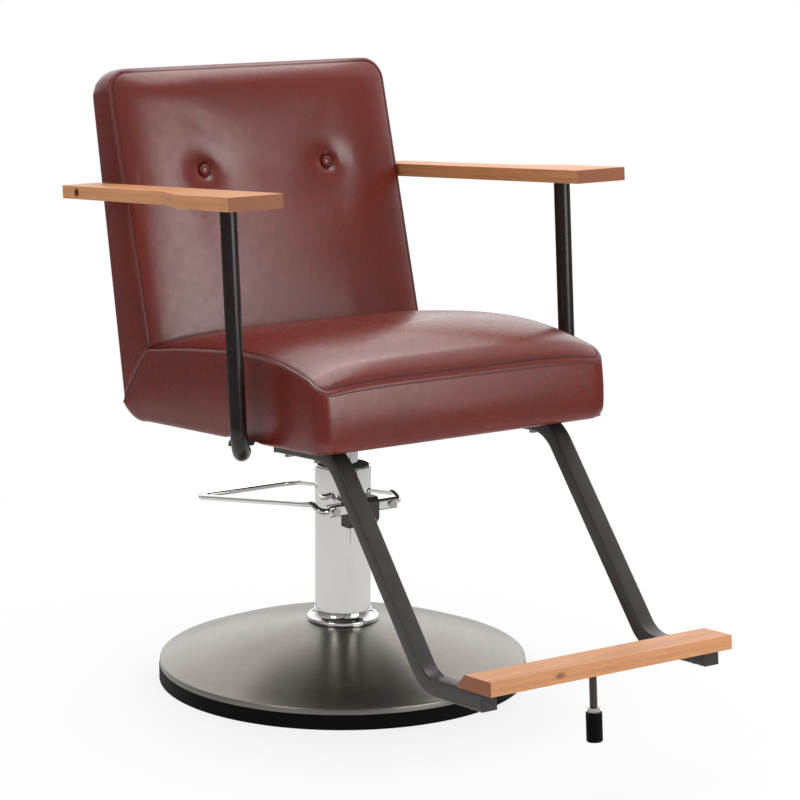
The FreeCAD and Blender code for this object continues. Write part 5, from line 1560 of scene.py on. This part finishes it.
@dataclass
class StitchRow:
    """A row of lockstitches along a path, made by a node tree.

    Attributes:
        pitch: Distance from one stitch to the next.
        length: Length of a stitch.
        thick: Radius of the thread.
    """

    pitch: float = 0.0042
    length: float = 0.0031
    thick: float = 0.00048

    def tree(self) -> bpy.types.GeometryNodeTree:
        """The node tree that lays stitches along an edge path."""
        found = bpy.data.node_groups.get("stitch_row")
        if found:
            return found
        tree = bpy.data.node_groups.new("stitch_row", "GeometryNodeTree")
        for name, kind in (("Path", "Geometry"), ("Pitch", "Float"), ("Length", "Float"),
                           ("Thread Radius", "Float"), ("Thread", "Material")):
            tree.interface.new_socket(name, in_out="INPUT", socket_type=f"NodeSocket{kind}")
        tree.interface.new_socket("Stitches", in_out="OUTPUT", socket_type="NodeSocketGeometry")
        graph = Graph(tree)
        given = graph.add("NodeGroupInput").outputs
        curve = graph.add("GeometryNodeMeshToCurve", {"Mesh": given["Path"]})
        even = graph.add("GeometryNodeResampleCurve",
                         {"Curve": curve.outputs[0], "Length": given["Pitch"]}, mode="LENGTH")
        tangent = graph.add("GeometryNodeInputTangent").outputs[0]
        aim = graph.add("FunctionNodeAlignRotationToVector", {"Vector": tangent}, axis="X")
        bead = graph.add("GeometryNodeMeshUVSphere", {"Segments": 8, "Rings": 6, "Radius": 1.0})
        half, thick = graph.times(given["Length"], 0.5), given["Thread Radius"]
        size = graph.add("ShaderNodeCombineXYZ", {"X": half, "Y": thick, "Z": thick})
        laid = graph.add("GeometryNodeInstanceOnPoints", {
            "Points": even.outputs[0], "Instance": bead.outputs["Mesh"],
            "Rotation": aim.outputs[0], "Scale": size.outputs[0]})
        real = graph.add("GeometryNodeRealizeInstances", {"Geometry": laid.outputs[0]})
        smooth = graph.add("GeometryNodeSetShadeSmooth", {"Geometry": real.outputs[0]})
        dressed = graph.add("GeometryNodeSetMaterial",
                            {"Geometry": smooth.outputs[0], "Material": given["Thread"]})
        graph.add("NodeGroupOutput", {"Stitches": dressed.outputs[0]})
        return tree

    def lay(self, name: str, path: Sequence[Vector]) -> Piece:
        """Lay stitches along a path.

        Args:
            name: The piece's name.
            path: Points in the model's frame.

        Returns:
            One plain mesh with every stitch.
        """
        mesh = bpy.data.meshes.new(name)
        edges = [(n, n + 1) for n in range(len(path) - 1)]
        mesh.from_pydata([tuple(p) for p in path], edges, [])
        values = {"Pitch": self.pitch, "Length": self.length, "Thread Radius": self.thick,
                  "Thread": Surface.THREAD.material()}
        return run_nodes(new_piece(name, mesh), self.tree(), values)


def run_nodes(piece: Piece, tree: bpy.types.GeometryNodeTree, values: dict[str, object]) -> Piece:
    """Put a geometry node tree on a piece and keep its result as a plain mesh.

    Args:
        piece: The object that the tree reads.
        tree: The node tree.
        values: Input name to value.

    Returns:
        The same object with the finished mesh.
    """
    modifier = piece.modifiers.new(tree.name, "NODES")
    modifier.node_group = tree
    for item in tree.interface.items_tree:
        if item.in_out == "INPUT" and item.name in values:
            modifier[item.identifier] = values[item.name]
    return plain_copy(piece)


@dataclass
class Upholstery:
    """Seat, back, rear panel, buttons and stitching."""

    seat: Cushion = field(default_factory=lambda: SeatCushion("seat_leather", SEAT))
    back: Cushion = field(default_factory=lambda: BackCushion("back_leather", BACK))
    panel: RearPanel = field(default_factory=RearPanel)
    buttons: Buttons = field(default_factory=Buttons)
    stitches: StitchRow = field(default_factory=StitchRow)

    def build(self) -> None:
        """Make the upholstery and fix it to the seat body."""
        for cushion, node in ((self.seat, "seat_cushion"), (self.back, "back_cushion")):
            piece = cushion.make()
            rows = self.stitches.lay(f"{cushion.name}_stitches", cushion.stitch_path())
            cushion.sew()
            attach(piece, "seat")
            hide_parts(node)
            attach(rows, "seat")
            LOG.info("%s: %d faces, %s: %d faces", piece.name, len(piece.data.polygons),
                     rows.name, len(rows.data.polygons))
        panel = self.panel.make()
        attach(panel, "seat")
        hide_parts("back_panel")
        covers = self.buttons.make()
        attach(covers, "seat")
        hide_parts("back_buttons")
        LOG.info("rear panel and buttons made")


# Steelwork


class SeatPost:
    """The arm posts' feet, where the padded edge is pressed up over them."""

    at = (0.2874, -0.1823)
    turn = math.radians(55)
    half_width = 0.020
    end = 0.170
    top = 0.0244
    fall = 0.8

    @classmethod
    def press(cls, x: float, y: float) -> float:
        """Lowest that the padded edge may be over a post's foot.

        Args:
            x: Place across in the seat frame.
            y: Place along in the seat frame.

        Returns:
            Height in the seat frame, or one far below the floor away from the feet.
        """
        dx, dy = cls.at[0] - abs(x), y - cls.at[1]
        way_x, way_y = math.cos(cls.turn), math.sin(cls.turn)
        along = dx * way_x + dy * way_y
        aside = abs(dy * way_x - dx * way_y)
        if not 0 < along < cls.end:
            return -1.0
        return cls.top - max(0.0, aside - cls.half_width) * cls.fall


def bent_line(corners: Sequence[Vector], bends: Sequence[float]) -> list[tuple[Vector, Vector]]:
    """Round a route's inner corners.

    Args:
        corners: Start, corners and end of the route.
        bends: Radius of the bend at each inner corner.

    Returns:
        Points of the centre line, each with its direction.
    """
    direction = (corners[1] - corners[0]).normalized()
    made = [(corners[0], direction)]
    for corner, following, radius in zip(corners[1:], corners[2:], bends):
        after = (following - corner).normalized()
        turn = direction.angle(after)
        start = corner - direction * radius * math.tan(turn / 2)
        centre = start + (after - direction * direction.dot(after)).normalized() * radius
        steps = max(6, round(math.degrees(turn) / 3))
        axis = direction.cross(after).normalized()
        for step in range(steps + 1):
            spin = Matrix.Rotation(turn * step / steps, 3, axis)
            made.append((centre + spin @ (start - centre), spin @ direction))
        direction = after
    made.append((corners[-1], direction))
    return made


def sweep(name: str, line: Sequence[tuple[Vector, Vector]], across: Vector,
          rings: Sequence[Sequence[Pair]], surface: Surface) -> Piece:
    """Sweep a section along a line that bends in one plane.

    Args:
        name: The piece's name.
        line: Points in the seat frame, each with the line's direction.
        across: Unit vector square to the line's plane.
        rings: The section's outline, and its bore if it is a tube.
        surface: The finish.

    Returns:
        The swept piece.
    """
    points, faces = [], []
    count, rows = len(rings[0]), len(line)
    for ring in rings:
        faces += walls(rows, count, len(points))
        for centre, direction in line:
            up = across.cross(direction)
            points += [SEAT.world(centre + across * a + up * b) for a, b in ring]
    for outer in (0, (rows - 1) * count):
        if len(rings) == 1:
            faces.append(tuple(range(outer, outer + count)))
            continue
        inner = outer + rows * count
        for step in range(count):
            after = (step + 1) % count
            faces.append((outer + step, outer + after, inner + after, inner + step))
    piece = mesh_piece(name, points, faces, surface)
    piece.data.set_sharp_from_angle(angle=CRISP_SWEPT)
    return piece


@dataclass
class LegTube:
    """A bent square tube with rounded corners.

    Attributes:
        side: -1 for the sitter's right, 1 for the left.
        across: Centre line beside the chair's middle.
        width: Outer width.
        wall: Thickness of the wall.
        corner: Radius of the outer edges.
        bore_corner: Radius of the inner edges.
        route: Corners of the centre line, along and up.
        bends: Radii of its bends.
    """

    side: int
    across: float = 0.1871
    width: float = 0.025
    wall: float = 0.002
    corner: float = 0.0030
    bore_corner: float = 0.0014
    route: tuple[Pair, ...] = (
        (-0.130, 0.0115), (-0.2741, 0.0115), (-0.4882, -0.2768), (-0.6208, -0.2768),
    )
    bends: Pair = (0.070, 0.055)

    def section(self, half: float, radius: float) -> list[Pair]:
        """Points round a square with rounded edges, given its half side and their radius."""
        flat = half - radius
        made = []
        for quarter, (a, b) in enumerate(((1, 1), (-1, 1), (-1, -1), (1, -1))):
            start = 90 * quarter
            made += arc((a * flat, b * flat), (radius, radius), start, start + 90, 4)
        return made

    def make(self, name: str) -> Piece:
        """Build the tube under the name that is given."""
        outer = self.section(self.width / 2, self.corner)
        inner = self.section(self.width / 2 - self.wall, self.bore_corner)
        corners = [Vector((self.side * self.across, y, z)) for y, z in self.route]
        return sweep(name, bent_line(corners, self.bends), Vector((1, 0, 0)), (outer, inner),
                     Surface.DARK_STEEL)


@dataclass
class ArmPost:
    """A round post that bends in under the seat.

    Attributes:
        side: -1 for the sitter's right, 1 for the left.
        radius: Radius of the post.
        top: Height of its upper end.
        foot: Height of its foot's centre line.
        run: Length of the foot from the post's axis.
        bend: Radius of the bend at mid tube.
    """

    side: int
    radius: float = 0.012
    top: float = 0.3642
    foot: float = 0.008
    run: float = 0.056
    bend: float = 0.044

    def make(self, name: str) -> Piece:
        """Build the post under the name that is given."""
        x, y = self.side * SeatPost.at[0], SeatPost.at[1]
        way = Vector((-self.side * math.cos(SeatPost.turn), math.sin(SeatPost.turn), 0))
        foot = Vector((x, y, self.foot))
        line = bent_line([Vector((x, y, self.top)), foot, foot + way * self.run], [self.bend])
        ring = arc((0, 0), (self.radius, self.radius), 0, 360, 40)[:-1]
        return sweep(name, line, way.cross(Vector((0, 0, 1))), (ring,), Surface.POST_PAINT)


class Steelwork:
    """Leg tubes and arm posts."""

    def build(self) -> None:
        """Make the tubes and posts and fix them to the seat body."""
        for side, tag in ((-1, "right"), (1, "left")):
            tube = LegTube(side).make(f"leg_{tag}_rounded")
            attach(tube, "seat")
            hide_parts(f"leg_tube_{tag}")
            post = ArmPost(side).make(f"post_{tag}_bent")
            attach(post, "seat")
            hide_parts(f"arm_post_{tag}")
        LOG.info("leg tubes and arm posts made")


@dataclass
class BaseDome:
    """The spun cover of the base and the chromed ring at the column's foot.

    Attributes:
        lip_radius: Radius of the cover's upright lip.
        lip_low: Lower end of the lip.
        lip_high: Upper end of the lip.
        shoulder: Radius of the bend over the lip.
        flatten: Height of that bend as a share of its radius.
        top: Top of the cover.
        neck: Radius of the cover's opening.
        arc: Radius of its long arc.
        sheet: Thickness of the sheet.
        ring_bore: Radius of the ring's bore.
        ring_lip: Centre of the ring's lip, out and over the cover's top.
        ring_round: Radius of that lip.
        ring_end: Upper end of the ring, out and over the cover's top.
        ring_dish: How far the ring's cone is dished, out and up.
        ring_edge: Height that the ring's upper edge gains towards the bore.
    """

    lip_radius: float = 0.279
    lip_low: float = 0.0224
    lip_high: float = 0.029
    shoulder: float = 0.0045
    flatten: float = 0.6
    top: float = 0.088
    neck: float = 0.0437
    arc: float = 0.840
    sheet: float = 0.0015
    ring_bore: float = 0.0424
    ring_lip: Pair = (0.0518, 0.0038)
    ring_round: float = 0.0030
    ring_end: Pair = (0.0436, 0.0172)
    ring_dish: Pair = (-0.00112, -0.00084)
    ring_edge: float = 0.0004

    def profile(self) -> list[Pair]:
        """Closed section of the cover."""
        low = self.shoulder * self.flatten
        start = (self.lip_radius - self.shoulder, self.lip_high + low)
        end = (self.neck, self.top)
        lip = [(self.lip_radius, self.lip_low), (self.lip_radius, self.lip_high)]
        bend = arc((start[0], self.lip_high), (self.shoulder, low), 20, 70, 4)
        run, rise = end[0] - start[0], end[1] - start[1]
        chord = math.hypot(run, rise)
        height = self.arc - math.sqrt(self.arc**2 - chord**2 / 4)
        bow = (height * rise / chord, -height * run / chord)
        outer = [*lip, *bend, *bowed(start, end, bow, 40)]
        inner = [(radius - self.sheet * 0.7, z - self.sheet) for radius, z in reversed(outer[1:])]
        return [*outer, *inner, (self.lip_radius - self.sheet, self.lip_low)]

    def ring_profile(self) -> list[Pair]:
        """Closed section of the column's foot ring: a dished cone with a rounded lip."""
        lip = (self.ring_lip[0], self.top + self.ring_lip[1])
        end = (self.ring_end[0], self.top + self.ring_end[1])
        foot = [(self.ring_bore, self.top), (lip[0] + self.ring_round, self.top)]
        turn = arc(lip, (self.ring_round, self.ring_round), 0, 115, 8)
        cone = bowed(turn[-1], end, self.ring_dish, 12)
        return [*foot, *turn, *cone, (self.ring_bore, end[1] + self.ring_edge)]

    def build(self) -> None:
        """Make the cover and the ring and fix them to the base."""
        cover = lathe("base_dome", self.profile(), Surface.DOME, 256)
        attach(cover, "base")
        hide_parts("base_cover")
        LOG.info("base dome: %d faces", len(cover.data.polygons))
        ring = lathe("foot_ring_rounded", self.ring_profile(), Surface.CHROME, 128)
        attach(ring, "base")
        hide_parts("column_foot_ring")


# Carried-over pieces


def dress_nodes() -> None:
    """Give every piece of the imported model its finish."""
    for name, node in frame["nodes"].items():
        slot_name = node.data.materials[0].name.split(".")[0]
        surface = NODE_FINISH.get(name, SLOT_FINISH[slot_name])
        for index in range(len(node.data.materials)):
            node.data.materials[index] = surface.material()
    LOG.info("%d carried-over pieces dressed", len(frame["nodes"]))


# Studio


@dataclass
class Studio:
    """Pale floor, soft lamps and the camera at the photograph's angle.

    Attributes:
        distance: Camera from the column's axis.
        azimuth: Degrees that the camera stands to the sitter's right of straight ahead.
        height: Camera above the floor.
        yaw: Degrees that the view turns from +Y.
        pitch: Degrees that the view looks down.
        roll: Degrees that the camera leans.
        lens: Focal length on a 36 mm sensor.
        floor_half: Half side of the floor.
        floor_drop: How far the floor lies below the model's lowest point.
        shadow_reach: Where the floor starts and ends running out into the backdrop, from the axis.
        shadow_lift: Share of the backdrop's white in the floor under the chair.
        mirror_reach: Where the mirrored floor starts and ends losing its light, from the axis.
        mirrored_white: Brightness of the mirrored floor near the chair and far from it.
        back_way: Direction of the bright backdrop.
        lit: The point that the lamps face.
    """

    distance: float = 4.110
    azimuth: float = 32.71
    height: float = 1.2637
    yaw: float = 33.90
    pitch: float = 11.516
    roll: float = 0.30
    lens: float = 125.755
    floor_half: float = 30.0
    floor_drop: float = 0.0005
    shadow_reach: Pair = (0.35, 1.3)
    shadow_lift: float = 0.80
    mirror_reach: Pair = (1.3, 2.2)
    mirrored_white: Pair = (0.62, 0.12)
    back_way: Triple = (0.62, 0.75, 0.25)
    lit: Triple = (0, 0, 0.5)

    def camera(self) -> None:
        """Place the camera."""
        data = bpy.data.cameras.new("photo_camera")
        data.lens, data.sensor_width, data.sensor_fit = self.lens, 36.0, "HORIZONTAL"
        data.clip_end = 100
        camera = new_piece("photo_camera", data)
        around = math.radians(self.azimuth)
        aside, ahead = self.distance * math.sin(around), self.distance * math.cos(around)
        turn = (Matrix.Rotation(-math.radians(self.yaw), 4, "Z")
                @ Matrix.Rotation(math.radians(90 - self.pitch), 4, "X")
                @ Matrix.Rotation(math.radians(self.roll), 4, "Z"))
        camera.matrix_world = Matrix.Translation((-aside, -ahead, self.height)) @ turn
        bpy.context.scene.camera = camera

    def floor(self) -> None:
        """Lay the floor."""
        half, z = self.floor_half, -self.floor_drop
        corners = [(-half, -half, z), (half, -half, z), (half, half, z), (-half, half, z)]
        mesh = bpy.data.meshes.new("studio_floor")
        mesh.from_pydata(corners, [], [(0, 1, 2, 3)])
        mesh.materials.append(self.floor_material())
        floor = new_piece("studio_floor", mesh)

    def floor_material(self) -> bpy.types.Material:
        """Matt white floor that takes the chair's shadow and runs out into a white backdrop."""
        graph = new_graph("studio_white")
        matt = graph.add("ShaderNodeBsdfPrincipled", {
            "Base Color": (0.93, 0.93, 0.93, 1), "Roughness": 0.9, "Specular IOR Level": 0.1})
        place = graph.add("ShaderNodeTexCoord").outputs["Object"]
        away = graph.vector("LENGTH", place, output="Value")
        plain = graph.spread(away, *self.shadow_reach, self.shadow_lift, 1)
        rays = graph.add("ShaderNodeLightPath").outputs
        mirrored = graph.math("MAXIMUM", rays["Is Glossy Ray"], rays["Is Transmission Ray"])
        seen = graph.math("MAXIMUM", rays["Is Camera Ray"], mirrored)
        mirrored_white = graph.spread(away, *self.mirror_reach, *self.mirrored_white)
        white = graph.add("ShaderNodeEmission", {
            "Color": (1, 1, 1, 1), "Strength": graph.choose(mirrored, 1.0, mirrored_white)})
        mixed = graph.add("ShaderNodeMixShader", {
            0: graph.times(plain, seen), 1: matt.outputs[0], 2: white.outputs[0]})
        graph.add("ShaderNodeOutputMaterial", {"Surface": mixed.outputs[0]})
        return bpy.data.materials["studio_white"]

    def lamp(self, name: str, place: Triple, size: Pair, power: float) -> None:
        """Hang one soft rectangular lamp that faces the chair.

        Args:
            name: The lamp's name.
            place: Its centre.
            size: Its width and height.
            power: Its power in watts.
        """
        data = bpy.data.lights.new(name, "AREA")
        data.shape = "RECTANGLE"
        data.size, data.size_y = size
        data.energy = power
        aim = Vector(self.lit) - Vector(place)
        turn = aim.to_track_quat("-Z", "Y").to_matrix().to_4x4()
        new_piece(name, data).matrix_world = Matrix.Translation(place) @ turn

    def world(self) -> None:
        """Light the room softly from all round, brightest from the backdrop behind the chair."""
        world = bpy.data.worlds.new("studio_world")
        bpy.context.scene.world = world
        world.use_nodes = True
        world.node_tree.nodes.clear()
        graph = Graph(world.node_tree)
        way = graph.add("ShaderNodeTexCoord").outputs["Generated"]
        above = graph.spread(graph.parts(way)["Z"], -0.1, 0.8, 0.13, 0.39)
        facing = graph.vector("DOT_PRODUCT", way, self.back_way, output="Value")
        soft = graph.plus(above, graph.spread(facing, 0.25, 0.9, 0.0, 1.1))
        seen = graph.add("ShaderNodeLightPath").outputs["Is Camera Ray"]
        light = graph.add("ShaderNodeBackground", {
            "Color": (1, 1, 1, 1), "Strength": graph.choose(seen, soft, 1.0)})
        graph.add("ShaderNodeOutputWorld", {"Surface": light.outputs[0]})

    def build(self) -> None:
        """Set up the whole studio."""
        self.camera()
        self.floor()
        self.world()
        self.lamp("overhead_softbox", (0.2, 0.5, 3.1), (2.6, 2.4), 50)
        self.lamp("front_softbox", (1.15, -3.9, 1.55), (2.2, 2.3), 62)
        self.lamp("side_softbox", (-3.2, -1.0, 2.4), (1.2, 1.4), 17)
        bpy.context.scene.view_settings.view_transform = "Standard"
        LOG.info("studio ready")


def main() -> None:
    """Build the chair's looks, sub-assembly by sub-assembly."""
    logging.basicConfig(level=logging.INFO, format="%(name)s: %(message)s")
    dress_nodes()
    BaseDome().build()
    Steelwork().build()
    Upholstery().build()
    Studio().build()


if __name__ == "__main__":
    main()
